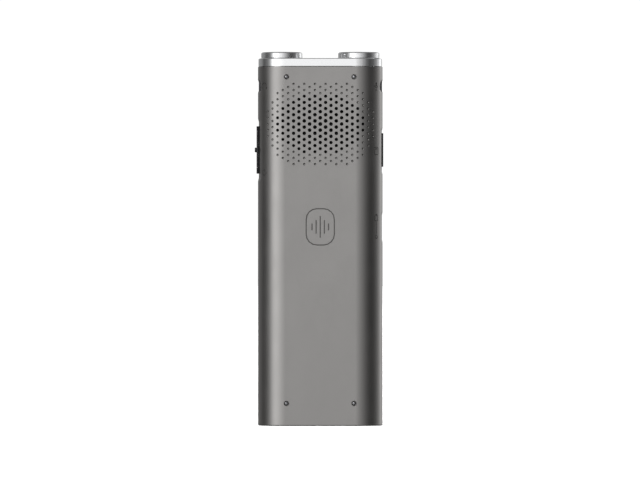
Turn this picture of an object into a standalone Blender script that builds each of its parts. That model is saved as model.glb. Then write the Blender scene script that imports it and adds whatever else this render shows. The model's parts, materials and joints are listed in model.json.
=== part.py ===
"""Handheld voice recorder, modelled piece by piece.

The recorder stands on its flat lower end. +Z runs up the body to the two microphones, the
display and the keys face -Y, and the plain metal back with the loudspeaker grille faces +Y.
The origin is the centre of the lower end.

Run with: blender --background --python part.py
"""

import math

import bmesh
import bpy
from mathutils import Vector

MM = 0.001

# Body: two shells that meet at a seam, under a bright top band.
BODY_WIDTH = 40.0 * MM
BODY_DEPTH = 14.6 * MM
BODY_TOP = 115.0 * MM
BACK_CORNER_WIDTH = 8.75 * MM  # the back corners are quarter ellipses, half the body deep
FRONT_CORNER = 3.4 * MM
SEAM_Y = -3.6 * MM
EDGE_BREAK = 0.35 * MM
WALL = 1.0 * MM
FLOOR = 1.2 * MM
FRONT_PLATE = 1.4 * MM

# Clearances
SEAM_GAP = 0.15 * MM  # between parts that meet in plain view
KEY_GAP = 0.2 * MM
OVERSHOOT = 1.0 * MM  # how far a cutting shape runs past the face it cuts

# Top band and microphones
BAND_TOP = 117.7 * MM
BAND_INSET = 0.16 * MM
BAND_CHAMFER = 0.2 * MM
BAND_PLATE = 1.1 * MM
MIC_X = 12.35 * MM
MIC_CAP_RADIUS = 6.625 * MM
MIC_CAP_TOP = 119.7 * MM
MIC_NECK_RADIUS = 5.2 * MM
MIC_NECK_BOTTOM = 113.5 * MM
MIC_BORE_RADIUS = 4.5 * MM
MIC_MOUTH_RADIUS = 3.9 * MM
MIC_LIP = 0.8 * MM
MIC_NUT_RADIUS = 5.9 * MM
MIC_NUT_HEIGHT = 1.3 * MM
MIC_CAPSULE_RADIUS = 3.4 * MM

# Rear screws
SCREW_X = 10.8 * MM
SCREW_UPPER_Z = 111.65 * MM
SCREW_LOWER_Z = 7.2 * MM
SCREW_HEAD_RADIUS = 0.75 * MM
SCREW_SHANK_RADIUS = 0.5 * MM
SCREW_END_Y = 2.9 * MM
SCREW_SEAT_Y = 6.55 * MM
SCREW_SEAT_RADIUS = 1.7 * MM
SCREW_SEAT_PROUD = 0.25 * MM

# Loudspeaker grille: staggered holes inside an ellipse, smaller towards its edge
GRILLE_Z = 96.6 * MM
GRILLE_COLUMN_PITCH = 1.708 * MM
GRILLE_ROW_PITCH = 0.987 * MM
GRILLE_HALF_WIDTH = 14.07 * MM
GRILLE_HALF_HEIGHT = 9.6 * MM
GRILLE_HOLE_RADIUS = 0.53 * MM
GRILLE_EDGE_RADIUS = 0.42 * MM

# Loudspeaker
SPEAKER_WIDTH = 27.0 * MM
SPEAKER_HEIGHT = 18.0 * MM
SPEAKER_REAR_Y = 1.9 * MM
SPEAKER_FACE_Y = 4.9 * MM
SPEAKER_WALL = 0.7 * MM
SPEAKER_MAGNET_RADIUS = 5.5 * MM

# Sockets in the two sides
JACK_Z = 108.8 * MM
JACK_Y = 0.6 * MM
JACK_BORE_RADIUS = 1.8 * MM
JACK_COLLAR_RADIUS = 2.3 * MM
JACK_OPENING_RADIUS = 2.5 * MM
JACK_FLARE_RADIUS = 2.85 * MM
JACK_FACE_X = 19.85 * MM
JACK_BLOCK_X = (6.8 * MM, 17.8 * MM)
JACK_BLOCK_DEPTH = 4.9 * MM
JACK_BLOCK_HEIGHT = 5.4 * MM
USB_Z = 63.5 * MM
USB_Y = -0.5 * MM
USB_WIDTH = 7.6 * MM
USB_HEIGHT = 2.7 * MM
USB_RADIUS = 0.9 * MM
USB_SHEET = 0.28 * MM
USB_MOUTH_X = -19.4 * MM
USB_REAR_X = -13.8 * MM
CARD_Z = 88.0 * MM
CARD_Y = -1.15 * MM
CARD_MOUTH_X = -18.55 * MM
CARD_REAR_X = -4.2 * MM
CARD_SOCKET_HEIGHT = 14.2 * MM

# Card door, hinged at its upper end
DOOR_Y = -1.0 * MM
DOOR_WIDTH = 3.2 * MM
DOOR_LOW_Z = 81.7 * MM
DOOR_FACE_X = -19.75 * MM
DOOR_PIVOT_X = -19.3 * MM
DOOR_PIVOT_Z = 94.25 * MM
DOOR_PAD_FACE_X = -20.22 * MM
DOOR_PAD_LOW_Z = 83.0 * MM
DOOR_PAD_HIGH_Z = 93.8 * MM
PIN_RADIUS = 0.2 * MM
PIN_HOLE_RADIUS = 0.26 * MM
PIN_LENGTH = 3.9 * MM

# Hold slider
SLIDER_Y = -0.6 * MM
SLIDER_Z = 88.4 * MM
SLIDER_LENGTH = 15.2 * MM
SLIDER_WIDTH = 3.4 * MM
SLIDER_BASE_X = 19.83 * MM
SLIDER_FACE_X = 20.45 * MM
SLIDER_TRAVEL = 1.2 * MM  # each way
SLIDER_PAD_LOW_Z = 82.8 * MM
SLIDER_PAD_HIGH_Z = 94.5 * MM
SLIDER_NUB_X = 21.04 * MM
SLIDER_NUB_HEIGHT = 1.5 * MM
SLIDER_STEM_WIDTH = 1.1 * MM
SLIDER_STEM_HEIGHT = 2.4 * MM
SWITCH_X = (13.6 * MM, 17.9 * MM)
SWITCH_HEIGHT = 10.4 * MM

# Shallow scoops in the sides: side, low and high z, length of the sloping ends, depth, rear edge y
SCOOP_LOW_Y = -3.3 * MM
SCOOP_SLOPE = 0.9 * MM  # width of the sloping strip along the front and rear edges
SCOOPS = (
    (1, 78.1 * MM, 98.7 * MM, 1.3 * MM, 0.27 * MM, 3.6 * MM),
    (-1, 80.4 * MM, 95.6 * MM, 1.1 * MM, 0.21 * MM, 3.2 * MM),
    (-1, 58.4 * MM, 68.7 * MM, 1.3 * MM, 0.21 * MM, 3.2 * MM),
)

# Inner layers, from the display side to the back
DISPLAY_PANEL_Y = (-5.7 * MM, -4.9 * MM)
BACKLIGHT_Y = (-4.75 * MM, -4.05 * MM)
CHASSIS_Y = (-3.9 * MM, -3.1 * MM)
DOME_TOP_Y = -3.5 * MM
DOME_SHEET_Y = (-3.1 * MM, -2.95 * MM)
CHASSIS_WIDTH = 34.4 * MM
CHASSIS_Z = (2.2 * MM, 113.0 * MM)
KEY_AREA_LOW_Z = 10.6 * MM  # lower end of the opening for the keys in the chassis
KEY_AREA_WIDTH = 31.8 * MM
CHASSIS_POST_RADIUS = 1.6 * MM
BRIDGE_LOW_Z = 110.0 * MM  # the bridge for the upper screws runs from here to the chassis' top
BOARD_Y = (-2.8 * MM, -2.0 * MM)
BOARD_WIDTH = 33.6 * MM
BOARD_Z = (4.0 * MM, 112.8 * MM)
BOARD_PART_Y = -1.85 * MM  # underside of what is mounted on the back of the board
BATTERY_Y = (0.6 * MM, 5.4 * MM)
BATTERY_WIDTH = 28.0 * MM
BATTERY_Z = (14.0 * MM, 70.0 * MM)
PLUG_Z = 76.0 * MM
PLUG_LENGTH = 3.6 * MM
LEAD_RADIUS = 0.4 * MM

# Parts on the back of the board: name, centre x, centre z, height, width, length, look
BOARD_PARTS = (
    ("processor_chip", -5.0 * MM, 50.0 * MM, 1.0 * MM, 10.0 * MM, 10.0 * MM, "chip_plastic"),
    ("memory_chip", 6.0 * MM, 30.0 * MM, 1.0 * MM, 12.0 * MM, 14.0 * MM, "chip_plastic"),
    ("crystal", -5.0 * MM, 60.0 * MM, 0.75 * MM, 3.2 * MM, 1.6 * MM, "steel"),
    ("battery_plug", 6.0 * MM, PLUG_Z, 2.05 * MM, 6.0 * MM, PLUG_LENGTH, "white_plastic"),
)

# Battery leads: name, x, look
LEADS = (
    ("battery_lead_red", 4.9 * MM, "red_wire"),
    ("battery_lead_black", 7.1 * MM, "black_wire"),
)

# Display
WINDOW_Z = 84.0 * MM
WINDOW_WIDTH = 33.0 * MM
WINDOW_HEIGHT = 46.0 * MM
WINDOW_DEPTH = 0.8 * MM
WINDOW_LEDGE = 1.6 * MM

# Keys: name, centre x, centre z, width, height, corner radius, look
KEY_PROUD = 0.4 * MM
KEY_TRAVEL = 0.3 * MM
KEY_FLANGE = 0.6 * MM
KEYS = (
    ("record_key", 0.0, 19.5 * MM, 10.0 * MM, 10.0 * MM, 5.0 * MM, "red_plastic"),
    ("stop_key", -11.5 * MM, 19.5 * MM, 8.6 * MM, 6.6 * MM, 2.0 * MM, "key_plastic"),
    ("play_key", 11.5 * MM, 19.5 * MM, 8.6 * MM, 6.6 * MM, 2.0 * MM, "key_plastic"),
    ("function_key_left", -9.5 * MM, 53.4 * MM, 11.0 * MM, 4.4 * MM, 2.2 * MM, "key_plastic"),
    ("function_key_right", 9.5 * MM, 53.4 * MM, 11.0 * MM, 4.4 * MM, 2.2 * MM, "key_plastic"),
)
NAV_Z = 38.0 * MM
NAV_RADIUS = 9.5 * MM
NAV_INNER_RADIUS = 4.7 * MM
NAV_PIVOT_Y = -5.0 * MM
NAV_PUSHER_DISTANCE = 7.0 * MM
NAV_RUBBER_RADII = (8.6 * MM, 9.8 * MM)
NAV_RUBBER_GAP = 0.4 * MM  # room for the ring to tilt over the rubber
OK_RADIUS = 4.2 * MM
LIGHT_Z = 110.6 * MM
LIGHT_WIDTH = 3.6 * MM
LIGHT_HEIGHT = 1.0 * MM

# Facets
CORNER_STEPS = 10
ROUND_SIDES = 24
SMALL_SIDES = 12
DOME_SIDES = 8
SHARP_ANGLE = math.radians(32)

# Looks: base colour, roughness, metallic
LOOKS = {
    "satin_metal": ((0.24, 0.235, 0.23), 0.38, 1.0),
    "polished_metal": ((0.82, 0.82, 0.83), 0.12, 1.0),
    "steel": ((0.45, 0.45, 0.46), 0.3, 1.0),
    "magnet_steel": ((0.3, 0.3, 0.32), 0.35, 1.0),
    "black_gloss": ((0.012, 0.012, 0.013), 0.12, 0.0),
    "black_satin": ((0.03, 0.03, 0.032), 0.5, 0.0),
    "key_plastic": ((0.09, 0.09, 0.095), 0.4, 0.0),
    "red_plastic": ((0.5, 0.02, 0.02), 0.35, 0.0),
    "rubber": ((0.02, 0.02, 0.02), 0.8, 0.0),
    "foam": ((0.06, 0.06, 0.065), 0.95, 0.0),
    "cloth": ((0.015, 0.015, 0.016), 0.95, 0.0),
    "paper_cone": ((0.05, 0.05, 0.055), 0.7, 0.0),
    "copper": ((0.7, 0.32, 0.15), 0.35, 1.0),
    "chassis_plastic": ((0.05, 0.05, 0.055), 0.55, 0.0),
    "green_board": ((0.01, 0.12, 0.05), 0.45, 0.0),
    "chip_plastic": ((0.02, 0.02, 0.022), 0.6, 0.0),
    "battery_foil": ((0.5, 0.52, 0.55), 0.3, 0.9),
    "white_plastic": ((0.75, 0.75, 0.72), 0.5, 0.0),
    "clear_light": ((0.7, 0.1, 0.08), 0.2, 0.0),
    "display_glass": ((0.01, 0.01, 0.012), 0.05, 0.0),
    "flex_film": ((0.45, 0.22, 0.04), 0.4, 0.0),
    "red_wire": ((0.55, 0.02, 0.02), 0.5, 0.0),
    "black_wire": ((0.02, 0.02, 0.02), 0.5, 0.0),
}


# ---------------------------------------------------------------- outlines


def rounded_rectangle(width, height, radius, centre=(0.0, 0.0), steps=4):
    """Outline with four equal round corners; a radius of half the height gives round ends."""
    centre_x, centre_y = centre
    corner_x = width / 2 - radius
    corner_y = height / 2 - radius
    points = []
    for quarter, (side_x, side_y) in enumerate(((1, 1), (-1, 1), (-1, -1), (1, -1))):
        for step in range(steps + 1):
            angle = (quarter + step / steps) * math.pi / 2
            x = centre_x + side_x * corner_x + radius * math.cos(angle)
            y = centre_y + side_y * corner_y + radius * math.sin(angle)
            points.append((x, y))
    return points


def circle(radius, centre=(0.0, 0.0), sides=ROUND_SIDES):
    turn = 2 * math.pi / sides
    return [
        (centre[0] + radius * math.cos(i * turn), centre[1] + radius * math.sin(i * turn))
        for i in range(sides)
    ]


def rear_arc(inset):
    """Points from the +X side over the back to the -X side, inset from the outer surface."""
    centre_x = BODY_WIDTH / 2 - BACK_CORNER_WIDTH
    reach_x = BACK_CORNER_WIDTH - inset
    reach_y = BODY_DEPTH / 2 - inset
    angles = [math.pi / 2 * step / CORNER_STEPS for step in range(CORNER_STEPS + 1)]
    right = [(centre_x + reach_x * math.cos(a), reach_y * math.sin(a)) for a in angles]
    return right + [(-x, y) for x, y in reversed(right)]


def front_arc(side_inset, face_inset):
    """Points from the -X side over the display side to the +X side."""
    centre_x = BODY_WIDTH / 2 - FRONT_CORNER
    centre_y = FRONT_CORNER - BODY_DEPTH / 2
    reach_x = FRONT_CORNER - side_inset
    reach_y = FRONT_CORNER - face_inset
    steps = CORNER_STEPS // 2
    angles = [math.pi / 2 * (step / steps - 1) for step in range(steps + 1)]
    right = [(centre_x + reach_x * math.cos(a), centre_y + reach_y * math.sin(a)) for a in angles]
    return [(-x, y) for x, y in reversed(right)] + right


def rear_outline(inset, seam_y):
    half = BODY_WIDTH / 2 - inset
    return [(half, seam_y), *rear_arc(inset), (-half, seam_y)]


def front_outline(side_inset, face_inset, seam_y):
    half = BODY_WIDTH / 2 - side_inset
    return [(-half, seam_y), *front_arc(side_inset, face_inset), (half, seam_y)]


def body_outline(inset):
    return rear_arc(inset) + front_arc(inset, inset)


def side_surface(y):
    """How far the outer surface of the rear shell stands from the middle, at this depth."""
    if y <= 0:
        return BODY_WIDTH / 2
    bulge = math.sqrt(1 - (2 * y / BODY_DEPTH) ** 2)
    return BODY_WIDTH / 2 - BACK_CORNER_WIDTH * (1 - bulge)


# ---------------------------------------------------------------- shapes


def place(axis, u, v, along):
    """A point of an outline at a distance along the axis it is extruded on."""
    return {"X": (along, u, v), "Y": (u, along, v), "Z": (u, v, along)}[axis]


def loft(axis, sections, ring=False):
    """Skin (distance, outline) sections; a ring runs on from the last one to the first."""
    shape = bmesh.new()
    rows = []
    for along, outline in sections:
        rows.append([shape.verts.new(place(axis, u, v, along)) for u, v in outline])
    pairs = list(zip(rows, rows[1:]))
    if ring:
        pairs.append((rows[-1], rows[0]))
    else:
        shape.faces.new(rows[0])
        shape.faces.new(rows[-1])
    for low, high in pairs:
        for i in range(len(low)):
            shape.faces.new((low[i - 1], low[i], high[i], high[i - 1]))
    bmesh.ops.remove_doubles(shape, verts=shape.verts, dist=0.001 * MM)
    bmesh.ops.recalc_face_normals(shape, faces=shape.faces)
    return shape


def prism(axis, low, high, outline):
    return loft(axis, [(low, outline), (high, outline)])


def box(low, high):
    outline = [(low[0], low[1]), (high[0], low[1]), (high[0], high[1]), (low[0], high[1])]
    return prism("Z", low[2], high[2], outline)


def mounted_box(x, z, low_y, high_y, width, height):
    """A box given by its middle and its size, as a part that sits on the board."""
    low = (x - width / 2, low_y, z - height / 2)
    return box(low, (x + width / 2, high_y, z + height / 2))


def side_scoop(side, low_z, high_z, end_slope, depth, high_y):
    """Cutting shape for a shallow pocket that follows the curve of one side of the body.

    Its floor rises to just outside the surface at all four edges.
    """
    edge = -0.05 * MM
    steps = 8
    floor_low_y = SCOOP_LOW_Y + SCOOP_SLOPE
    floor_width = high_y - SCOOP_SLOPE - floor_low_y
    floor_places = [floor_low_y + floor_width * i / steps for i in range(steps + 1)]
    outside = BODY_WIDTH / 2 + OVERSHOOT
    sections = []
    for z, row_depth in (
        (low_z, edge),
        (low_z + end_slope, depth),
        (high_z - end_slope, depth),
        (high_z, edge),
    ):
        floor = [(side * (side_surface(y) - row_depth), y) for y in floor_places]
        floor.insert(0, (side * (side_surface(SCOOP_LOW_Y) - edge), SCOOP_LOW_Y))
        floor.append((side * (side_surface(high_y) - edge), high_y))
        corners = [(side * outside, SCOOP_LOW_Y), (side * outside, high_y)]
        sections.append((z, [corners[0], *floor, corners[1]]))
    return loft("Z", sections)


def gather(shapes):
    """One mesh holding several shapes that stay clear of each other."""
    whole = bmesh.new()
    for shape in shapes:
        mesh = bpy.data.meshes.new("shape")
        shape.to_mesh(mesh)
        shape.free()
        whole.from_mesh(mesh)
        bpy.data.meshes.remove(mesh)
    return whole


# ---------------------------------------------------------------- objects


def add_material(name, look):
    colour, roughness, metallic = LOOKS[look]
    material = bpy.data.materials.new(f"{name}_{look}")
    material.use_nodes = True
    shader = material.node_tree.nodes["Principled BSDF"]
    shader.inputs["Base Color"].default_value = (*colour, 1.0)
    shader.inputs["Roughness"].default_value = roughness
    shader.inputs["Metallic"].default_value = metallic
    return material


def link_object(name, data, origin=(0.0, 0.0, 0.0)):
    item = bpy.data.objects.new(name, data)
    item.location = origin
    bpy.context.scene.collection.objects.link(item)
    return item


def add_piece(name, shape, look, origin=(0.0, 0.0, 0.0)):
    """Make the named piece; its origin is on its joint's axis when it moves."""
    bmesh.ops.translate(shape, verts=shape.verts, vec=-Vector(origin))
    mesh = bpy.data.meshes.new(name)
    shape.to_mesh(mesh)
    shape.free()
    mesh.shade_smooth()
    mesh.set_sharp_from_angle(angle=SHARP_ANGLE)
    mesh.materials.append(add_material(name, look))
    return link_object(name, mesh, origin)


def change(piece, operation, label, shape):
    """Cut a shape from the piece, or join it on, through a Boolean on a hidden helper."""
    mesh = bpy.data.meshes.new(f"{piece.name}_{label}")
    shape.to_mesh(mesh)
    shape.free()
    helper = link_object(mesh.name, mesh)
    helper.hide_render = True
    helper.display_type = "WIRE"
    modifier = piece.modifiers.new(label, "BOOLEAN")
    modifier.operation = operation
    modifier.solver = "EXACT"
    modifier.object = helper


def cut(piece, label, *shapes):
    change(piece, "DIFFERENCE", label, gather(shapes))


def join(piece, label, *shapes):
    change(piece, "UNION", label, gather(shapes))


def screw_places():
    """Names and places of the four rear screws; left and right are as seen from the back."""
    for level, z in (("upper", SCREW_UPPER_Z), ("lower", SCREW_LOWER_Z)):
        for hand, side in (("left", 1), ("right", -1)):
            yield f"{level}_{hand}", (side * SCREW_X, z)


def screw_circles(radius, level=""):
    """A circle round each screw, or round those of one level."""
    return [
        circle(radius, centre, SMALL_SIDES)
        for name, centre in screw_places()
        if name.startswith(level)
    ]


# ---------------------------------------------------------------- shells


def grille_holes():
    """Cutting shapes for the holes that go through, on a staggered grid."""
    columns = int(GRILLE_HALF_WIDTH / GRILLE_COLUMN_PITCH)
    rows = int(GRILLE_HALF_HEIGHT / GRILLE_ROW_PITCH)
    for column in range(-columns, columns + 1):
        for row in range(-rows, rows + 1):
            x = column * GRILLE_COLUMN_PITCH
            rise = row * GRILLE_ROW_PITCH
            reach = math.hypot(x / GRILLE_HALF_WIDTH, rise / GRILLE_HALF_HEIGHT)
            if (column + row) % 2 or reach > 1:
                continue
            radius = GRILLE_HOLE_RADIUS + (GRILLE_EDGE_RADIUS - GRILLE_HOLE_RADIUS) * reach
            hole = circle(radius, (x, GRILLE_Z + rise), sides=6)
            yield prism("Y", BODY_DEPTH / 2 - 2 * WALL, BODY_DEPTH / 2 + OVERSHOOT, hole)


def screw_well(centre):
    """Cutting shape for one screw: a well for the head over a narrower hole."""
    hole = circle(SCREW_SHANK_RADIUS + 0.12 * MM, centre, SMALL_SIDES)
    well = circle(SCREW_HEAD_RADIUS + 0.13 * MM, centre, SMALL_SIDES)
    back = BODY_DEPTH / 2
    return loft(
        "Y",
        [(back - 2 * WALL, hole), (SCREW_SEAT_Y, hole), (SCREW_SEAT_Y, well), (back + OVERSHOOT, well)],
    )


def jack_opening(side):
    """Cutting shape for a jack: a round hole that flares at the surface."""
    centre = (JACK_Y, JACK_Z)
    hole = circle(JACK_OPENING_RADIUS, centre)
    flare = circle(JACK_FLARE_RADIUS, centre)
    half = BODY_WIDTH / 2
    return loft(
        "X",
        [
            (side * (half - 3 * WALL), hole),
            (side * (half - 0.45 * MM), hole),
            (side * (half - 0.1 * MM), flare),
            (side * (half + OVERSHOOT), flare),
        ],
    )


def through_side(side, outline):
    """Cutting shape through one side wall."""
    half = BODY_WIDTH / 2
    return prism("X", side * (half - 2 * WALL), side * (half + OVERSHOOT), outline)


def make_rear_housing():
    housing = add_piece(
        "rear_housing",
        loft(
            "Z",
            [
                (0.0, rear_outline(EDGE_BREAK, SEAM_Y)),
                (EDGE_BREAK, rear_outline(0.0, SEAM_Y)),
                (BODY_TOP, rear_outline(0.0, SEAM_Y)),
            ],
        ),
        "satin_metal",
    )
    cavity = rear_outline(WALL, SEAM_Y - OVERSHOOT)
    cut(housing, "cavity", prism("Z", FLOOR, BODY_TOP + OVERSHOOT, cavity))
    inner_back = BODY_DEPTH / 2 - WALL
    seats = [
        prism("Y", inner_back - SCREW_SEAT_PROUD, inner_back + WALL / 2, seat)
        for seat in screw_circles(SCREW_SEAT_RADIUS)
    ]
    join(housing, "screw_seats", *seats)
    cut(housing, "screw_wells", *[screw_well(centre) for _, centre in screw_places()])
    cut(housing, "grille", *grille_holes())
    cut(housing, "scoops", *[side_scoop(*scoop) for scoop in SCOOPS])
    cut(housing, "jack_openings", jack_opening(1), jack_opening(-1))
    cut_side_openings(housing)


def slot_height():
    """Height of the slot that the slider's stem moves in."""
    return SLIDER_STEM_HEIGHT + 2 * SLIDER_TRAVEL + 3 * KEY_GAP


def cut_side_openings(housing):
    slider_slot = rounded_rectangle(1.8 * MM, slot_height(), 0.5 * MM, (SLIDER_Y, SLIDER_Z))
    usb_gap = 0.25 * MM
    usb_size = (USB_HEIGHT + 2 * usb_gap, USB_WIDTH + 2 * usb_gap)
    usb_opening = rounded_rectangle(*usb_size, USB_RADIUS + KEY_GAP, (USB_Y, USB_Z))
    door_low = DOOR_LOW_Z - SEAM_GAP
    door_high = DOOR_PIVOT_Z + (DOOR_PIVOT_X - DOOR_FACE_X) + 0.24 * MM
    door_size = (DOOR_WIDTH + 2 * KEY_GAP, door_high - door_low)
    door_middle = (DOOR_Y, (door_low + door_high) / 2)
    door_opening = rounded_rectangle(*door_size, 0.2 * MM, door_middle, steps=2)
    cut(
        housing,
        "side_openings",
        through_side(1, slider_slot),
        through_side(-1, usb_opening),
        through_side(-1, door_opening),
    )
    cut(housing, "pin_sockets", pin_shape(PIN_HOLE_RADIUS, PIN_LENGTH + 0.1 * MM))


def pin_shape(radius, length):
    """Round bar on the door's hinge axis."""
    outline = circle(radius, (DOOR_PIVOT_X, DOOR_PIVOT_Z), SMALL_SIDES)
    return prism("Y", DOOR_Y - length / 2, DOOR_Y + length / 2, outline)


def make_front_panel():
    seam = SEAM_Y - SEAM_GAP
    panel = add_piece(
        "front_panel",
        loft(
            "Z",
            [
                (0.0, front_outline(EDGE_BREAK, EDGE_BREAK, seam)),
                (EDGE_BREAK, front_outline(0.0, 0.0, seam)),
                (BODY_TOP, front_outline(0.0, 0.0, seam)),
            ],
        ),
        "satin_metal",
    )
    cavity = front_outline(WALL, FRONT_PLATE, seam + OVERSHOOT)
    cut(panel, "cavity", prism("Z", FLOOR, BODY_TOP + OVERSHOOT, cavity))
    face = -BODY_DEPTH / 2
    pocket = window_outline(KEY_GAP)
    through = window_outline(-WINDOW_LEDGE)
    ledge_y = face + WINDOW_DEPTH + 0.1 * MM
    behind = face + 2 * FRONT_PLATE
    window = [(face - OVERSHOOT, pocket), (ledge_y, pocket), (ledge_y, through), (behind, through)]
    cut(panel, "window", loft("Y", window))
    openings = [key_outline(key, KEY_GAP) for key in KEYS]
    openings.append(circle(NAV_RADIUS + KEY_GAP, (0.0, NAV_Z)))
    openings.append(light_outline(KEY_GAP))
    cut(panel, "key_openings", *[prism("Y", face - OVERSHOOT, behind, opening) for opening in openings])


def make_top_band():
    bottom = BODY_TOP + SEAM_GAP
    band = add_piece(
        "top_band",
        loft(
            "Z",
            [
                (bottom, body_outline(BAND_INSET)),
                (BAND_TOP - BAND_CHAMFER, body_outline(BAND_INSET)),
                (BAND_TOP, body_outline(BAND_INSET + BAND_CHAMFER)),
            ],
        ),
        "polished_metal",
    )
    hollow = body_outline(BAND_INSET + WALL)
    cut(band, "hollow", prism("Z", bottom - OVERSHOOT, BAND_TOP - BAND_PLATE, hollow))
    holes = [circle(MIC_NECK_RADIUS + SEAM_GAP, (side * MIC_X, 0.0)) for side in (1, -1)]
    cut(band, "mic_holes", *[prism("Z", bottom, BAND_TOP + OVERSHOOT, hole) for hole in holes])


# ---------------------------------------------------------------- microphones


def turned(centre, profile, ring=False, sides=ROUND_SIDES):
    """A shape turned about an upright axis from (height, radius) pairs."""
    return loft("Z", [(z, circle(radius, centre, sides)) for z, radius in profile], ring)


def make_microphone(hand, side):
    """Turned barrel through the band, held by a nut, with a capsule in a rubber boot."""
    centre = (side * MIC_X, 0.0)
    shoulder = BAND_TOP + SEAM_GAP
    edge = 0.15 * MM
    lip_bottom = MIC_CAP_TOP - MIC_LIP
    barrel = (
        (MIC_NECK_BOTTOM, MIC_NECK_RADIUS),
        (shoulder, MIC_NECK_RADIUS),
        (shoulder, MIC_CAP_RADIUS),
        (MIC_CAP_TOP - edge, MIC_CAP_RADIUS),
        (MIC_CAP_TOP, MIC_CAP_RADIUS - edge),
        (MIC_CAP_TOP, MIC_MOUTH_RADIUS + 2 * edge),
        (MIC_CAP_TOP - 2 * edge, MIC_MOUTH_RADIUS),
        (lip_bottom, MIC_MOUTH_RADIUS),
        (lip_bottom, MIC_BORE_RADIUS),
        (MIC_NECK_BOTTOM, MIC_BORE_RADIUS),
    )
    add_piece(f"mic_barrel_{hand}", turned(centre, barrel, ring=True), "polished_metal")
    nut_top = BAND_TOP - BAND_PLATE - SEAM_GAP
    nut_bottom = nut_top - MIC_NUT_HEIGHT
    nut_bore = MIC_NECK_RADIUS + SEAM_GAP
    nut = (
        (nut_bottom, MIC_NUT_RADIUS),
        (nut_top, MIC_NUT_RADIUS),
        (nut_top, nut_bore),
        (nut_bottom, nut_bore),
    )
    add_piece(f"mic_nut_{hand}", turned(centre, nut, ring=True), "steel")
    boot_bottom = MIC_NECK_BOTTOM + 0.2 * MM
    boot_top = lip_bottom - 0.7 * MM
    boot_bore = MIC_CAPSULE_RADIUS + 0.1 * MM
    boot = (
        (boot_bottom, MIC_BORE_RADIUS - 0.1 * MM),
        (boot_top, MIC_BORE_RADIUS - 0.1 * MM),
        (boot_top, boot_bore),
        (boot_bottom, boot_bore),
    )
    add_piece(f"mic_boot_{hand}", turned(centre, boot, ring=True), "rubber")
    capsule = (
        (boot_bottom + 0.3 * MM, MIC_CAPSULE_RADIUS),
        (boot_top - 0.2 * MM, MIC_CAPSULE_RADIUS),
        (boot_top, MIC_CAPSULE_RADIUS - 0.2 * MM),
    )
    add_piece(f"mic_capsule_{hand}", turned(centre, capsule), "steel")
    mesh_radius = MIC_BORE_RADIUS - SEAM_GAP
    mesh = ((lip_bottom - 0.55 * MM, mesh_radius), (lip_bottom - 0.25 * MM, mesh_radius))
    add_piece(f"mic_mesh_{hand}", turned(centre, mesh), "steel")


# ---------------------------------------------------------------- screws


def make_screw(place_name, centre):
    """Small domed screw, sunk in its well."""
    x, z = centre
    head_bottom = SCREW_SEAT_Y + 0.05 * MM
    profile = (
        (SCREW_END_Y, 0.3 * SCREW_SHANK_RADIUS),
        (SCREW_END_Y + 0.5 * MM, SCREW_SHANK_RADIUS),
        (head_bottom, SCREW_SHANK_RADIUS),
        (head_bottom, SCREW_HEAD_RADIUS),
        (head_bottom + 0.2 * MM, SCREW_HEAD_RADIUS),
        (head_bottom + 0.4 * MM, 0.8 * SCREW_HEAD_RADIUS),
        (head_bottom + 0.5 * MM, 0.45 * SCREW_HEAD_RADIUS),
    )
    sections = [(y, circle(radius, (x, z), SMALL_SIDES)) for y, radius in profile]
    add_piece(f"screw_{place_name}", loft("Y", sections), "steel")


# ---------------------------------------------------------------- loudspeaker


def speaker_outline(inset):
    """Oval with round ends, with its points at even angles, as on a circle."""
    radius = SPEAKER_HEIGHT / 2 - inset
    end_x = (SPEAKER_WIDTH - SPEAKER_HEIGHT) / 2
    points = []
    for unit_x, unit_z in circle(1.0):
        to_end = end_x * abs(unit_x) + math.sqrt(radius**2 - (end_x * unit_z) ** 2)
        to_flat = radius / max(abs(unit_z), 1e-6)
        reach = to_flat if abs(to_flat * unit_x) <= end_x else to_end
        points.append((reach * unit_x, GRILLE_Z + reach * unit_z))
    return points


def speaker_circle(radius):
    return circle(radius, (0.0, GRILLE_Z))


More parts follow.
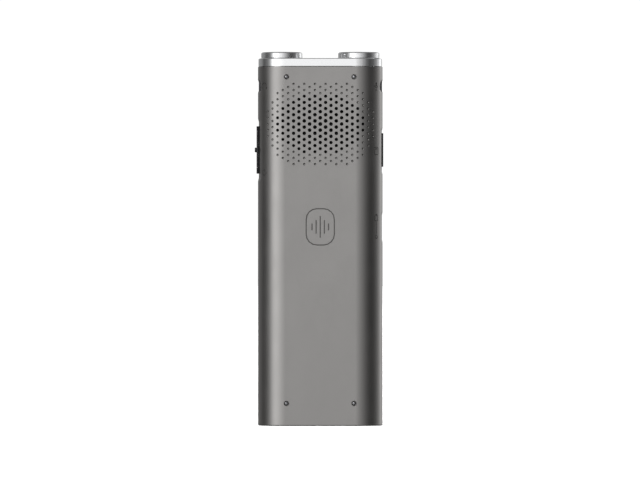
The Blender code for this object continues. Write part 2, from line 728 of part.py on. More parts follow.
def make_speaker():
    face = SPEAKER_FACE_Y
    rear = SPEAKER_REAR_Y
    inner = speaker_outline(SPEAKER_WALL)
    magnet_hole = speaker_circle(SPEAKER_MAGNET_RADIUS + 0.2 * MM)
    frame = (
        (rear, speaker_outline(1.0 * MM)),
        (face, speaker_outline(0.0)),
        (face, inner),
        (rear + SPEAKER_WALL, speaker_outline(1.0 * MM + SPEAKER_WALL)),
        (rear + SPEAKER_WALL, magnet_hole),
        (rear, magnet_hole),
    )
    add_piece("speaker_frame", loft("Y", frame, ring=True), "chassis_plastic")
    magnet = speaker_circle(SPEAKER_MAGNET_RADIUS)
    add_piece("speaker_magnet", prism("Y", rear - 1.4 * MM, rear + 0.8 * MM, magnet), "magnet_steel")
    coil_low = rear + 1.0 * MM
    coil_high = face - 1.1 * MM
    coil = [(coil_low, 4.4 * MM), (coil_high, 4.4 * MM), (coil_high, 3.9 * MM), (coil_low, 3.9 * MM)]
    rings = [(y, speaker_circle(radius)) for y, radius in coil]
    add_piece("voice_coil", loft("Y", rings, ring=True), "copper")
    edge = speaker_outline(SPEAKER_WALL + 0.4 * MM)
    roll = speaker_outline(SPEAKER_WALL + 1.8 * MM)
    dome = speaker_circle(4.4 * MM)
    crown = speaker_circle(1.5 * MM)
    thickness = 0.2 * MM
    cone_y = face - 0.45 * MM
    profile = ((0.4 * MM, crown), (-0.05 * MM, dome), (0.35 * MM, roll), (0.0, edge))
    cone = [(cone_y + rise, outline) for rise, outline in profile]
    cone += [(cone_y + rise - thickness, outline) for rise, outline in reversed(profile)]
    add_piece("speaker_cone", loft("Y", cone), "paper_cone")
    gasket_low = face + 0.1 * MM
    gasket_high = gasket_low + 0.45 * MM
    rim = speaker_outline(0.0)
    lip = speaker_outline(1.2 * MM)
    gasket = ((gasket_low, rim), (gasket_high, rim), (gasket_high, lip), (gasket_low, lip))
    add_piece("speaker_gasket", loft("Y", gasket, ring=True), "foam")
    cloth_low = gasket_high + 0.1 * MM
    cloth = rounded_rectangle(2 * GRILLE_HALF_WIDTH, 2 * GRILLE_HALF_HEIGHT, 7.0 * MM, (0.0, GRILLE_Z))
    add_piece("speaker_cloth", prism("Y", cloth_low, cloth_low + 0.2 * MM, cloth), "cloth")


# ---------------------------------------------------------------- display


def window_outline(grow):
    radius = 1.6 * MM + max(grow, -1.0 * MM)
    size = (WINDOW_WIDTH + 2 * grow, WINDOW_HEIGHT + 2 * grow)
    return rounded_rectangle(*size, radius, (0.0, WINDOW_Z))


def light_outline(grow):
    height = LIGHT_HEIGHT + 2 * grow
    return rounded_rectangle(LIGHT_WIDTH + 2 * grow, height, height / 2, (0.0, LIGHT_Z))


def make_display():
    face = -BODY_DEPTH / 2
    add_piece("display_window", prism("Y", face, face + WINDOW_DEPTH, window_outline(0.0)), "display_glass")
    panel = window_outline(-0.3 * MM)
    add_piece("display_panel", prism("Y", *DISPLAY_PANEL_Y, panel), "display_glass")
    add_piece("backlight", prism("Y", *BACKLIGHT_Y, panel), "white_plastic")
    light = (
        (face + 0.05 * MM, light_outline(0.0)),
        (face + FRONT_PLATE + 0.15 * MM, light_outline(0.0)),
        (face + FRONT_PLATE + 0.15 * MM, light_outline(0.5 * MM)),
        (CHASSIS_Y[0] - 0.3 * MM, light_outline(0.5 * MM)),
    )
    add_piece("record_light", loft("Y", light), "clear_light")


def make_display_flex():
    """Ribbon from the lower edge of the display panel round to the front of the board."""
    half_thickness = 0.075 * MM
    start_y = sum(DISPLAY_PANEL_Y) / 2
    end_y = BOARD_Y[0] - 0.15 * MM
    top_z = WINDOW_Z - WINDOW_HEIGHT / 2 + 0.1 * MM
    radius = (end_y - start_y) / 2
    middle = ((start_y + end_y) / 2, top_z - 0.9 * MM - radius)
    steps = 10
    route = [(start_y, top_z)]
    for step in range(steps + 1):
        angle = math.pi * (1 + step / steps)
        route.append((middle[0] + radius * math.cos(angle), middle[1] + radius * math.sin(angle)))
    outer = []
    inner = []
    for i, (y, z) in enumerate(route):
        before = Vector(route[max(i - 1, 0)])
        after = Vector(route[min(i + 1, len(route) - 1)])
        along = (after - before).normalized()
        outer.append((y + half_thickness * along.y, z - half_thickness * along.x))
        inner.append((y - half_thickness * along.y, z + half_thickness * along.x))
    half_width = 6.0 * MM
    add_piece("display_flex", prism("X", -half_width, half_width, outer + inner[::-1]), "flex_film")


# ---------------------------------------------------------------- chassis and board


def upright_plate(width, low_z, high_z, radius):
    """Outline of a plate in the middle of the body, given by its two ends."""
    return rounded_rectangle(width, high_z - low_z, radius, (0.0, (low_z + high_z) / 2))


def make_chassis():
    """Plate between display and board, with a post for each screw."""
    outline = upright_plate(CHASSIS_WIDTH, *CHASSIS_Z, 2.5 * MM)
    chassis = add_piece("chassis", prism("Y", *CHASSIS_Y, outline), "chassis_plastic")
    key_area_high_z = WINDOW_Z - WINDOW_HEIGHT / 2 - 0.6 * MM
    key_area = upright_plate(KEY_AREA_WIDTH, KEY_AREA_LOW_Z, key_area_high_z, 1.0 * MM)
    cut(chassis, "key_area", prism("Y", CHASSIS_Y[0] - OVERSHOOT, CHASSIS_Y[1] + OVERSHOOT, key_area))
    post_end = 5.9 * MM
    root_y = sum(CHASSIS_Y) / 2
    posts = [prism("Y", root_y, post_end, post) for post in screw_circles(CHASSIS_POST_RADIUS, "lower")]
    join(chassis, "lower_posts", *posts)
    bridge_y = 3.4 * MM
    leg = 4.0 * MM
    arm = 13.0 * MM
    bridge = [
        (-leg, root_y),
        (leg, root_y),
        (leg, bridge_y),
        (arm, bridge_y),
        (arm, post_end),
        (-arm, post_end),
        (-arm, bridge_y),
        (-leg, bridge_y),
    ]
    join(chassis, "upper_bridge", prism("Z", BRIDGE_LOW_Z, CHASSIS_Z[1], bridge))
    bores = screw_circles(SCREW_SHANK_RADIUS + 0.1 * MM)
    bore_end = SCREW_END_Y - 0.4 * MM
    cut(chassis, "screw_bores", *[prism("Y", bore_end, post_end + OVERSHOOT, bore) for bore in bores])


def make_board():
    """Main board, notched round the chassis' posts, with the parts on its back."""
    outline = upright_plate(BOARD_WIDTH, *BOARD_Z, 2.0 * MM)
    board = add_piece("main_board", prism("Y", *BOARD_Y, outline), "green_board")
    low_y = BOARD_Y[0] - OVERSHOOT
    high_y = BOARD_Y[1] + OVERSHOOT
    post_holes = screw_circles(CHASSIS_POST_RADIUS + 0.4 * MM, "lower")
    holes = [prism("Y", low_y, high_y, hole) for hole in post_holes]
    cut(board, "post_holes", *holes)
    notch_half = 4.4 * MM
    notch_low = (-notch_half, low_y, BRIDGE_LOW_Z - 0.5 * MM)
    cut(board, "leg_notch", box(notch_low, (notch_half, high_y, BOARD_Z[1] + OVERSHOOT)))
    for name, x, z, height, width, length, look in BOARD_PARTS:
        top_y = BOARD_PART_Y + height
        add_piece(name, mounted_box(x, z, BOARD_PART_Y, top_y, width, length), look)


def make_dome_sheet():
    """Thin sheet of snap domes, one under each key and each side of the four-way key."""
    outline = upright_plate(31.0 * MM, 11.0 * MM, 56.4 * MM, 1.0 * MM)
    sheet = add_piece("dome_sheet", prism("Y", *DOME_SHEET_Y, outline), "flex_film")
    centres = [(key[1], key[2]) for key in KEYS] + [(0.0, NAV_Z)] + nav_pusher_centres()
    root_y = sum(DOME_SHEET_Y) / 2
    domes = [
        loft(
            "Y",
            [
                (DOME_TOP_Y, circle(1.3 * MM, centre, DOME_SIDES)),
                (root_y - 0.15 * MM, circle(2.1 * MM, centre, DOME_SIDES)),
                (root_y, circle(2.1 * MM, centre, DOME_SIDES)),
            ],
        )
        for centre in centres
    ]
    join(sheet, "domes", *domes)


# ---------------------------------------------------------------- battery


def make_battery():
    """Flat cell taped to the rear housing, with two leads to its plug on the board."""
    low_y, high_y = BATTERY_Y
    low_z, high_z = BATTERY_Z
    middle_y = (low_y + high_y) / 2
    cell_outline = rounded_rectangle(BATTERY_WIDTH, high_y - low_y, 2.0 * MM, (0.0, middle_y))
    add_piece("battery_cell", prism("Z", low_z, high_z, cell_outline), "battery_foil")
    tape_margin = 6.0 * MM
    tape = upright_plate(20.0 * MM, low_z + tape_margin, high_z - tape_margin, 1.0 * MM)
    add_piece("battery_tape", prism("Y", high_y + 0.15 * MM, high_y + 0.45 * MM, tape), "white_plastic")
    start = (middle_y, high_z + SEAM_GAP)
    end = (BOARD_PART_Y + 1.05 * MM, PLUG_Z - PLUG_LENGTH / 2 - SEAM_GAP)
    for name, x, look in LEADS:
        make_lead(name, x, start, end, look)


def make_lead(name, x, start, end, look):
    """Round wire from the cell to its plug, leaving and arriving straight."""
    steps = 10
    curve = bpy.data.curves.new(name, "CURVE")
    curve.dimensions = "3D"
    curve.bevel_depth = LEAD_RADIUS
    curve.bevel_resolution = 2
    curve.use_fill_caps = True
    spline = curve.splines.new("POLY")
    spline.points.add(steps)
    for step in range(steps + 1):
        share = step / steps
        y = start[0] + (end[0] - start[0]) * share * share * (3 - 2 * share)
        z = start[1] + (end[1] - start[1]) * share
        spline.points[step].co = (x, y, z, 1.0)
    curve.materials.append(add_material(name, look))
    link_object(name, curve)


# ---------------------------------------------------------------- sockets


def make_jack(name, side):
    """Round jack: a block on the board with a collar that fills the hole in the shell."""
    centre = (JACK_Y, JACK_Z)
    block_low, block_high = JACK_BLOCK_X
    block = rounded_rectangle(JACK_BLOCK_DEPTH, JACK_BLOCK_HEIGHT, 0.4 * MM, centre, steps=2)
    jack = add_piece(name, prism("X", side * block_low, side * block_high, block), "black_gloss")
    collar = circle(JACK_COLLAR_RADIUS, centre)
    join(jack, "collar", prism("X", side * (block_high - 0.5 * MM), side * JACK_FACE_X, collar))
    bore = circle(JACK_BORE_RADIUS, centre)
    bore_end = block_low + 0.8 * MM
    cut(jack, "bore", prism("X", side * bore_end, side * (BODY_WIDTH / 2 + OVERSHOOT), bore))


def make_usb_socket():
    """Drawn shell with a tongue that stands on its rear wall."""
    centre = (USB_Y, USB_Z)
    outer = rounded_rectangle(USB_HEIGHT, USB_WIDTH, USB_RADIUS, centre)
    inner_size = (USB_HEIGHT - 2 * USB_SHEET, USB_WIDTH - 2 * USB_SHEET)
    inner = rounded_rectangle(*inner_size, USB_RADIUS - USB_SHEET, centre)
    socket = add_piece("usb_socket", prism("X", USB_MOUTH_X, USB_REAR_X, outer), "steel")
    cut(socket, "mouth", prism("X", USB_MOUTH_X - OVERSHOOT, USB_REAR_X - 0.6 * MM, inner))
    tongue = rounded_rectangle(0.6 * MM, 4.0 * MM, 0.1 * MM, centre, steps=1)
    join(socket, "tongue", prism("X", USB_MOUTH_X + 0.6 * MM, USB_REAR_X - 0.3 * MM, tongue))


def make_card_socket():
    """Flat box on the board, open towards the door."""
    half = CARD_SOCKET_HEIGHT / 2
    low = (CARD_MOUTH_X, BOARD_PART_Y, CARD_Z - half)
    socket = add_piece("card_socket", box(low, (CARD_REAR_X, -0.4 * MM, CARD_Z + half)), "steel")
    slot = rounded_rectangle(0.85 * MM, 11.3 * MM, 0.1 * MM, (CARD_Y, CARD_Z), steps=1)
    cut(socket, "slot", prism("X", CARD_MOUTH_X - OVERSHOOT, CARD_REAR_X - 1.2 * MM, slot))


def make_card_door():
    """Flat cover over the card slot, on a pin across its upper end."""
    round_top = DOOR_PIVOT_X - DOOR_FACE_X
    steps = 6
    side_view = [(DOOR_PIVOT_X + round_top, DOOR_LOW_Z), (DOOR_FACE_X, DOOR_LOW_Z)]
    for step in range(steps + 1):
        angle = math.pi * (1 - step / steps)
        x = DOOR_PIVOT_X + round_top * math.cos(angle)
        side_view.append((x, DOOR_PIVOT_Z + round_top * math.sin(angle)))
    low_y = DOOR_Y - DOOR_WIDTH / 2
    high_y = DOOR_Y + DOOR_WIDTH / 2
    pivot = (DOOR_PIVOT_X, DOOR_Y, DOOR_PIVOT_Z)
    door = add_piece("card_door", prism("Y", low_y, high_y, side_view), "black_satin", pivot)
    edge = 0.12 * MM
    pad = door_pad_outline(0.0)
    root_x = DOOR_FACE_X + 0.3 * MM
    pad_sections = [
        (root_x, pad),
        (DOOR_PAD_FACE_X + edge, pad),
        (DOOR_PAD_FACE_X, door_pad_outline(-edge)),
    ]
    join(door, "pad", loft("X", pad_sections))
    cut(door, "pin_hole", pin_shape(PIN_HOLE_RADIUS, DOOR_WIDTH + 2 * OVERSHOOT))
    add_piece("card_door_pin", pin_shape(PIN_RADIUS, PIN_LENGTH), "steel", pivot)


def door_pad_outline(grow):
    width = DOOR_WIDTH - 0.2 * MM + 2 * grow
    height = DOOR_PAD_HIGH_Z - DOOR_PAD_LOW_Z + 2 * grow
    middle = (DOOR_Y, (DOOR_PAD_LOW_Z + DOOR_PAD_HIGH_Z) / 2)
    return rounded_rectangle(width, height, 0.5 * MM + grow, middle, steps=3)


# ---------------------------------------------------------------- hold slider


def make_hold_slider():
    """Cradle with a stem through the shell, and the grip pad that lies in it."""
    low_z = SLIDER_Z - SLIDER_LENGTH / 2
    high_z = SLIDER_Z + SLIDER_LENGTH / 2
    floor_x = SLIDER_BASE_X + 0.2 * MM
    side_view = [
        (SLIDER_BASE_X, low_z),
        (SLIDER_FACE_X, low_z),
        (SLIDER_FACE_X, SLIDER_PAD_LOW_Z),
        (floor_x, SLIDER_PAD_LOW_Z),
        (floor_x, SLIDER_PAD_HIGH_Z),
        (SLIDER_FACE_X, SLIDER_PAD_HIGH_Z),
        (SLIDER_FACE_X, high_z),
        (SLIDER_BASE_X, high_z),
    ]
    low_y = SLIDER_Y - SLIDER_WIDTH / 2
    high_y = SLIDER_Y + SLIDER_WIDTH / 2
    centre = (SLIDER_Y, SLIDER_Z)
    origin = (SLIDER_BASE_X, *centre)
    cradle = add_piece("hold_slider", prism("Y", low_y, high_y, side_view), "black_gloss", origin)
    stem = rounded_rectangle(SLIDER_STEM_WIDTH, SLIDER_STEM_HEIGHT, 0.2 * MM, centre, steps=1)
    join(cradle, "stem", prism("X", 16.7 * MM, SLIDER_BASE_X + 0.1 * MM, stem))
    clear = 0.08 * MM
    pad_height = SLIDER_PAD_HIGH_Z - SLIDER_PAD_LOW_Z - 2 * clear
    pad_middle = (SLIDER_Y, (SLIDER_PAD_LOW_Z + SLIDER_PAD_HIGH_Z) / 2)
    pad = rounded_rectangle(SLIDER_WIDTH - 0.1 * MM, pad_height, 0.1 * MM, pad_middle, steps=1)
    pad_shape = prism("X", floor_x + clear, SLIDER_FACE_X, pad)
    grip = add_piece("hold_slider_pad", pad_shape, "black_satin", origin)
    nub = rounded_rectangle(SLIDER_WIDTH - 0.4 * MM, SLIDER_NUB_HEIGHT, 0.3 * MM, centre, steps=3)
    join(grip, "nub", prism("X", SLIDER_FACE_X - 0.15 * MM, SLIDER_NUB_X, nub))


def make_slide_switch():
    """Switch on the board, worked by the slider's stem."""
    low_x, high_x = SWITCH_X
    half = SWITCH_HEIGHT / 2
    low = (low_x, BOARD_PART_Y, SLIDER_Z - half)
    switch = add_piece("slide_switch", box(low, (high_x, 1.1 * MM, SLIDER_Z + half)), "steel")
    slot_width = SLIDER_STEM_WIDTH + 2 * KEY_GAP
    slot = rounded_rectangle(slot_width, slot_height(), 0.2 * MM, (SLIDER_Y, SLIDER_Z), steps=1)
    cut(switch, "slot", prism("X", high_x - 1.6 * MM, high_x + OVERSHOOT, slot))


# ---------------------------------------------------------------- keys


def key_outline(key, grow):
    _, x, z, width, height, radius, _ = key
    return rounded_rectangle(width + 2 * grow, height + 2 * grow, radius + grow, (x, z))


def make_key(key):
    """Key cap with a flange behind the panel and a pusher over its dome."""
    name, x, z, _, _, _, look = key
    face = -BODY_DEPTH / 2 - KEY_PROUD
    flange = -BODY_DEPTH / 2 + FRONT_PLATE + 0.15 * MM
    pusher = rounded_rectangle(2.4 * MM, 2.4 * MM, 1.2 * MM, (x, z))
    sections = (
        (face, key_outline(key, -0.35 * MM)),
        (face + 0.12 * MM, key_outline(key, -0.1 * MM)),
        (face + 0.3 * MM, key_outline(key, 0.0)),
        (flange, key_outline(key, 0.0)),
        (flange, key_outline(key, 0.7 * MM)),
        (flange + KEY_FLANGE, key_outline(key, 0.7 * MM)),
        (flange + KEY_FLANGE, pusher),
        (DOME_TOP_Y - KEY_TRAVEL - 0.05 * MM, pusher),
    )
    add_piece(name, loft("Y", sections), look, (x, flange, z))


def nav_pusher_centres():
    reach = NAV_PUSHER_DISTANCE
    return [(reach, NAV_Z), (-reach, NAV_Z), (0.0, NAV_Z + reach), (0.0, NAV_Z - reach)]


def make_four_way_key():
    """Tilting ring on a rubber ring, round a separate middle key."""
    centre = (0.0, NAV_Z)
    origin = (0.0, NAV_PIVOT_Y, NAV_Z)
    face = -BODY_DEPTH / 2 - KEY_PROUD
    flange_front = NAV_PIVOT_Y - 0.25 * MM
    flange_back = NAV_PIVOT_Y + 0.25 * MM
    flange_radius = NAV_RADIUS + 0.7 * MM
    ring = (
        (face, NAV_RADIUS - 0.5 * MM),
        (face + 0.3 * MM, NAV_RADIUS),
        (flange_front, NAV_RADIUS),
        (flange_front, flange_radius),
        (flange_back, flange_radius),
        (flange_back, NAV_INNER_RADIUS),
        (face + 0.3 * MM, NAV_INNER_RADIUS),
        (face, NAV_INNER_RADIUS + 0.4 * MM),
        (face + 0.15 * MM, (NAV_RADIUS + NAV_INNER_RADIUS) / 2),
    )
    rings = [(y, circle(radius, centre)) for y, radius in ring]
    nav = add_piece("nav_ring", loft("Y", rings, ring=True), "key_plastic", origin)
    pusher_end = DOME_TOP_Y - KEY_TRAVEL - 0.05 * MM
    pushers = [circle(0.9 * MM, middle, SMALL_SIDES) for middle in nav_pusher_centres()]
    join(nav, "pushers", *[prism("Y", flange_back - 0.2 * MM, pusher_end, pusher) for pusher in pushers])
    rubber_front = flange_back + NAV_RUBBER_GAP
    rubber_back = rubber_front + 0.4 * MM
    inner, outer = NAV_RUBBER_RADII
    rubber = ((rubber_front, outer), (rubber_back, outer), (rubber_back, inner), (rubber_front, inner))
    rings = [(y, circle(radius, centre)) for y, radius in rubber]
    add_piece("nav_rubber_ring", loft("Y", rings, ring=True), "rubber", origin)
    ok_flange = flange_back + 0.3 * MM
    middle = (
        (face, OK_RADIUS - 0.4 * MM),
        (face + 0.3 * MM, OK_RADIUS),
        (ok_flange, OK_RADIUS),
        (ok_flange, OK_RADIUS + 1.4 * MM),
        (ok_flange + 0.4 * MM, OK_RADIUS + 1.4 * MM),
        (ok_flange + 0.4 * MM, 1.2 * MM),
        (pusher_end, 1.2 * MM),
    )
    rings = [(y, circle(radius, centre)) for y, radius in middle]
    add_piece("ok_key", loft("Y", rings), "key_plastic", (0.0, ok_flange, NAV_Z))


# ---------------------------------------------------------------- whole recorder


def clear_scene():
    for item in list(bpy.data.objects):
        bpy.data.objects.remove(item, do_unlink=True)


def build():
    clear_scene()
    make_rear_housing()
    make_front_panel()
    make_top_band()
    for hand, side in (("left", 1), ("right", -1)):
        make_microphone(hand, side)
    for place_name, centre in screw_places():
        make_screw(place_name, centre)
    make_speaker()
    make_display()
    make_display_flex()
    make_chassis()
    make_board()
    make_dome_sheet()
    make_battery()
    make_jack("headphone_jack", 1)
    make_jack("microphone_jack", -1)
    make_usb_socket()
    make_card_socket()
    make_card_door()
    make_hold_slider()
    make_slide_switch()
    for key in KEYS:
        make_key(key)
    make_four_way_key()


build()
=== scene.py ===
"""Looks, light and camera for the handheld voice recorder.

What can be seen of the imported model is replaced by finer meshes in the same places. The parts
inside keep their CAD meshes and get materials. The loudspeaker grille faces +Y and the display
and keys face -Y. Lengths are in millimetres, and become metres where a mesh, a texture or the
camera takes them.
"""

import json
import math

import bmesh
import bpy
from mathutils import Matrix, Vector

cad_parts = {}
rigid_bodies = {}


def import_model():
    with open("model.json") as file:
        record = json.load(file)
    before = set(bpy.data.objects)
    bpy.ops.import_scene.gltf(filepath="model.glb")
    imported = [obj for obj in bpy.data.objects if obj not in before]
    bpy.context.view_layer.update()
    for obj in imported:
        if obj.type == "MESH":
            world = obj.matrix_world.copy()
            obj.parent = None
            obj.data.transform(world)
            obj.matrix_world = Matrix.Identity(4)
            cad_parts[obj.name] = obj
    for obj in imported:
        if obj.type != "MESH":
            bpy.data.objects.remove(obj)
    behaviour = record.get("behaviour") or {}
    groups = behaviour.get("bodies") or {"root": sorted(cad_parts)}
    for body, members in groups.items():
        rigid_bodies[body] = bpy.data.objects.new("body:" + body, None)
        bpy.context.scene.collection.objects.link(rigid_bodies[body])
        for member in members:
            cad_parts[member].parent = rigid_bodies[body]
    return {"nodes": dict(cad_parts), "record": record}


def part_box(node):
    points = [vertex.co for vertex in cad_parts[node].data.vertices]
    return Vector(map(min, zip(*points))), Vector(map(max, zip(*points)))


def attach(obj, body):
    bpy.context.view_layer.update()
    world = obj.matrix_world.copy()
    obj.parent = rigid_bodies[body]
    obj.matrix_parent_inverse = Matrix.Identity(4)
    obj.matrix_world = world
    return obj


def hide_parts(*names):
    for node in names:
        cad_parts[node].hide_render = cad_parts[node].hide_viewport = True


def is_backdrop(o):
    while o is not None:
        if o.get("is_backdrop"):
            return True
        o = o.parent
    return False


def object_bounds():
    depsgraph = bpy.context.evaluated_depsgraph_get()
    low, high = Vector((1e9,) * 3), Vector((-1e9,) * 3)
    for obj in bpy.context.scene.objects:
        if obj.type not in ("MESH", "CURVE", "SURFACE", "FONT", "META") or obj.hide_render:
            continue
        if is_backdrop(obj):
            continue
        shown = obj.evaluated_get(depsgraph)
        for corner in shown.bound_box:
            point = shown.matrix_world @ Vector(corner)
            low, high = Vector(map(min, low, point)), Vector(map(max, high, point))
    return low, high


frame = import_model()
cad_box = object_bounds()

MM = 0.001  # metres in a millimetre


def box(node):
    """Lowest and highest corner of a CAD node."""
    low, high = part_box(node)
    return low / MM, high / MM


def middle(node, axes="xz"):
    """The middle of a CAD node's box, on the axes named."""
    low, high = box(node)
    return tuple(getattr((low + high) / 2, axes))


def size(node, axes="xz"):
    low, high = box(node)
    return tuple(getattr(high - low, axes))


# Body, from the frame
HALF_WIDTH, BACK_Y, BODY_TOP = box("rear_housing")[1]
SEAM_Y = box("rear_housing")[0].y
FACE_Y = box("front_panel")[0].y
PANEL_SEAM_Y = box("front_panel")[1].y
BACK_CORNER = 8.75  # half width of the elliptical back corners
FRONT_CORNER = 3.4
EDGE_BREAK = 0.35  # rounding of the edges at the foot
TOP_EDGE = 0.06  # rounding of the edges under the top band
WALL = 1.0
FLOOR = 1.2
FRONT_PLATE = 1.4
OVERSHOOT = 1.0  # how far a cutting shape runs past the face it cuts

# Grille: staggered holes that follow the back round its corners
GRILLE_COLUMN_PITCH = 1.708
GRILLE_ROW_PITCH = 0.987
GRILLE_HALF = (17.6, 13.8)
GRILLE_SQUARENESS = 2.5
THROUGH_HALF = (14.07, 9.6)
HOLE_RADIUS = 0.6
EDGE_HOLE_RADIUS = 0.46
DIMPLE_RADIUS = 0.38
DIMPLE_DEPTH = 0.27

# The shallow recesses in the sides: what each one surrounds, its side, how far it runs on below
# and above that, the slope at its ends, its depth, and where it ends toward the back
RECESSES = (
    ("hold_slider", 1, 2.65, 2.65, 1.3, 0.27, 3.6),
    ("card_door", -1, 1.3, 0.9, 1.1, 0.25, 3.2),
    ("usb_socket", -1, 1.3, 1.4, 1.3, 0.21, 3.2),
    ("headphone_jack", 1, -0.5, -0.5, 0.8, 0.25, 3.6),
    ("microphone_jack", -1, -0.5, -0.5, 0.8, 0.16, 3.6),
)

# Engraved marks
ENGRAVING = 0.13
MARK_Z = 63.7
MARK_STROKE = 0.36
ICON_STROKE = 0.2
ICON_ANGLE = 40  # how far round the back corner the small icons sit, in degrees

# Keys: the radius of each cap's corners, and how far its hidden flange stands out round it
KEY_CORNERS = {
    "record_key": 5.0,
    "stop_key": 2.0,
    "play_key": 2.0,
    "function_key_left": 2.2,
    "function_key_right": 2.2,
}
KEY_FLANGE = 0.7
LIGHT_FLANGE = 0.5

# Nodes that are made alike
JACKS = ("headphone_jack", "microphone_jack")
SCREWS = [name for name in frame["nodes"] if name.startswith("screw_")]
HANDS = ("left", "right")
JACK_COLLAR = 2.15  # radius of the ring round each jack's hole

# Fine detail
CORNER_STEPS = 40
ROUND_SIDES = 64
SHARP_ANGLE = math.radians(32)
CURVE_ANGLE = math.radians(6)  # how far a facet of the body may turn from its true curve

SLOTS = {part["node"]: part["material_slot"] for part in frame["record"]["subparts"]}


# ---- outlines


def arc(centre, reach, start, end, steps):
    """Points along part of an ellipse, from one angle to another in degrees."""
    points = []
    for step in range(steps + 1):
        angle = math.radians(start + (end - start) * step / steps)
        u, v = reach[0] * math.cos(angle), reach[1] * math.sin(angle)
        points.append((centre[0] + u, centre[1] + v))
    return points


def circle(radius, centre=(0.0, 0.0), sides=ROUND_SIDES):
    return arc(centre, (radius, radius), 0, 360, sides)[:-1]


def triangle(radius, centre, turn):
    """Three-cornered sign, its point turned from the right by an angle in degrees."""
    return arc(centre, (radius, radius), turn, turn + 360, 3)[:-1]


def rounded_rectangle(width, height, radius, centre=(0.0, 0.0), steps=8):
    """Outline with four equal round corners; a radius of half the height gives round ends."""
    points = []
    reach = (width / 2 - radius, height / 2 - radius)
    for quarter, (side_u, side_v) in enumerate(((1, 1), (-1, 1), (-1, -1), (1, -1))):
        corner = (centre[0] + side_u * reach[0], centre[1] + side_v * reach[1])
        points += arc(corner, (radius, radius), 90 * quarter, 90 * quarter + 90, steps)
    return points


def oblong(width, height, radius, centre=(0.0, 0.0), steps=8):
    """A rounded rectangle that can be grown."""

    def outline(grow):
        sides = (width + 2 * grow, height + 2 * grow)
        return rounded_rectangle(*sides, radius + grow, centre, steps)

    return outline


def disc(radius, centre=(0.0, 0.0), sides=ROUND_SIDES):
    """A circle that can be grown."""
    return lambda grow: circle(radius + grow, centre, sides)


def mirrored(points):
    return [(-x, y) for x, y in reversed(points)]


def rear_arc(inset):
    """From the +X side over the back to the -X side, inset from the outer surface."""
    centre = (HALF_WIDTH - BACK_CORNER, 0.0)
    right = arc(centre, (BACK_CORNER - inset, BACK_Y - inset), 0, 90, CORNER_STEPS)
    return right + mirrored(right)


def front_arc(side_inset, face_inset):
    """From the -X side over the display side to the +X side."""
    centre = (HALF_WIDTH - FRONT_CORNER, FACE_Y + FRONT_CORNER)
    reach = (FRONT_CORNER - side_inset, FRONT_CORNER - face_inset)
    right = arc(centre, reach, -90, 0, CORNER_STEPS // 2)
    return mirrored(right) + right


def rear_outline(inset, seam_y=SEAM_Y):
    half = HALF_WIDTH - inset
    return [(half, seam_y), *rear_arc(inset), (-half, seam_y)]


def front_outline(side_inset, face_inset, seam_y=PANEL_SEAM_Y):
    half = HALF_WIDTH - side_inset
    return [(-half, seam_y), *front_arc(side_inset, face_inset), (half, seam_y)]


def body_outline(inset):
    return rear_arc(inset) + front_arc(inset, inset)


def side_surface(y):
    """How far the outer surface of the body stands from the middle, at this depth."""
    if y <= 0:
        return HALF_WIDTH
    return HALF_WIDTH - BACK_CORNER * (1 - math.sqrt(1 - (y / BACK_Y) ** 2))


def corner_place(side, angle):
    """A point on a back corner, at an angle of its ellipse, and its outward turn from +Y."""
    turn = math.radians(angle)
    x = HALF_WIDTH - BACK_CORNER + BACK_CORNER * math.cos(turn)
    outward_turn = math.atan2(math.cos(turn) / BACK_CORNER, math.sin(turn) / BACK_Y)
    return (side * x, BACK_Y * math.sin(turn)), side * outward_turn


def back_place(distance):
    """A point of the back at a distance from its middle along the surface, and its turn."""
    side = math.copysign(1, distance)
    left = abs(distance) - (HALF_WIDTH - BACK_CORNER)
    if left <= 0:
        return (distance, BACK_Y), 0.0
    angle = 90.0
    step = 0.25
    while left > 0:
        here, _ = corner_place(1, angle)
        angle -= step
        there, _ = corner_place(1, angle)
        left -= math.dist(here, there)
    return corner_place(side, angle)


# ---- shapes


def place(axis, u, v, along):
    """A point of an outline in metres, at a distance along the axis it is extruded on."""
    point = {"X": (along, u, v), "Y": (u, along, v), "Z": (u, v, along)}[axis]
    return Vector(point) * MM


def loft(axis, sections, ring=False):
    """Skin (distance, outline) sections; a ring runs on from the last one to the first."""
    shape = bmesh.new()
    rows = []
    for along, outline in sections:
        rows.append([shape.verts.new(place(axis, u, v, along)) for u, v in outline])
    pairs = list(zip(rows, rows[1:]))
    if ring:
        pairs.append((rows[-1], rows[0]))
    else:
        shape.faces.new(rows[0])
        shape.faces.new(rows[-1])
    for low, high in pairs:
        for i in range(len(low)):
            shape.faces.new((low[i - 1], low[i], high[i], high[i - 1]))
    bmesh.ops.remove_doubles(shape, verts=shape.verts, dist=0.0005 * MM)
    bmesh.ops.recalc_face_normals(shape, faces=shape.faces)
    return shape


def prism(axis, low, high, outline):
    return loft(axis, [(low, outline), (high, outline)])


def turned(axis, centre, profile, ring=False, sides=ROUND_SIDES):
    """A turned shape from (distance along the axis, radius) pairs."""
    return loft(axis, [(along, circle(radius, centre, sides)) for along, radius in profile], ring)


def edge_steps(radius, steps=4):
    """(rise, inset) pairs of a rounded edge, from the face outward."""
    for step in range(steps + 1):
        angle = math.pi / 2 * step / steps
        yield radius * (1 - math.cos(angle)), radius * (1 - math.sin(angle))


def soft_prism(axis, back, face, shape, edge):
    """A prism whose outline is shape(grow) and whose edge at the face is rounded."""
    way = math.copysign(1, face - back)
    sections = [(face - way * inset, shape(-rise)) for rise, inset in edge_steps(edge)]
    return loft(axis, [(back, shape(0.0)), *sections])


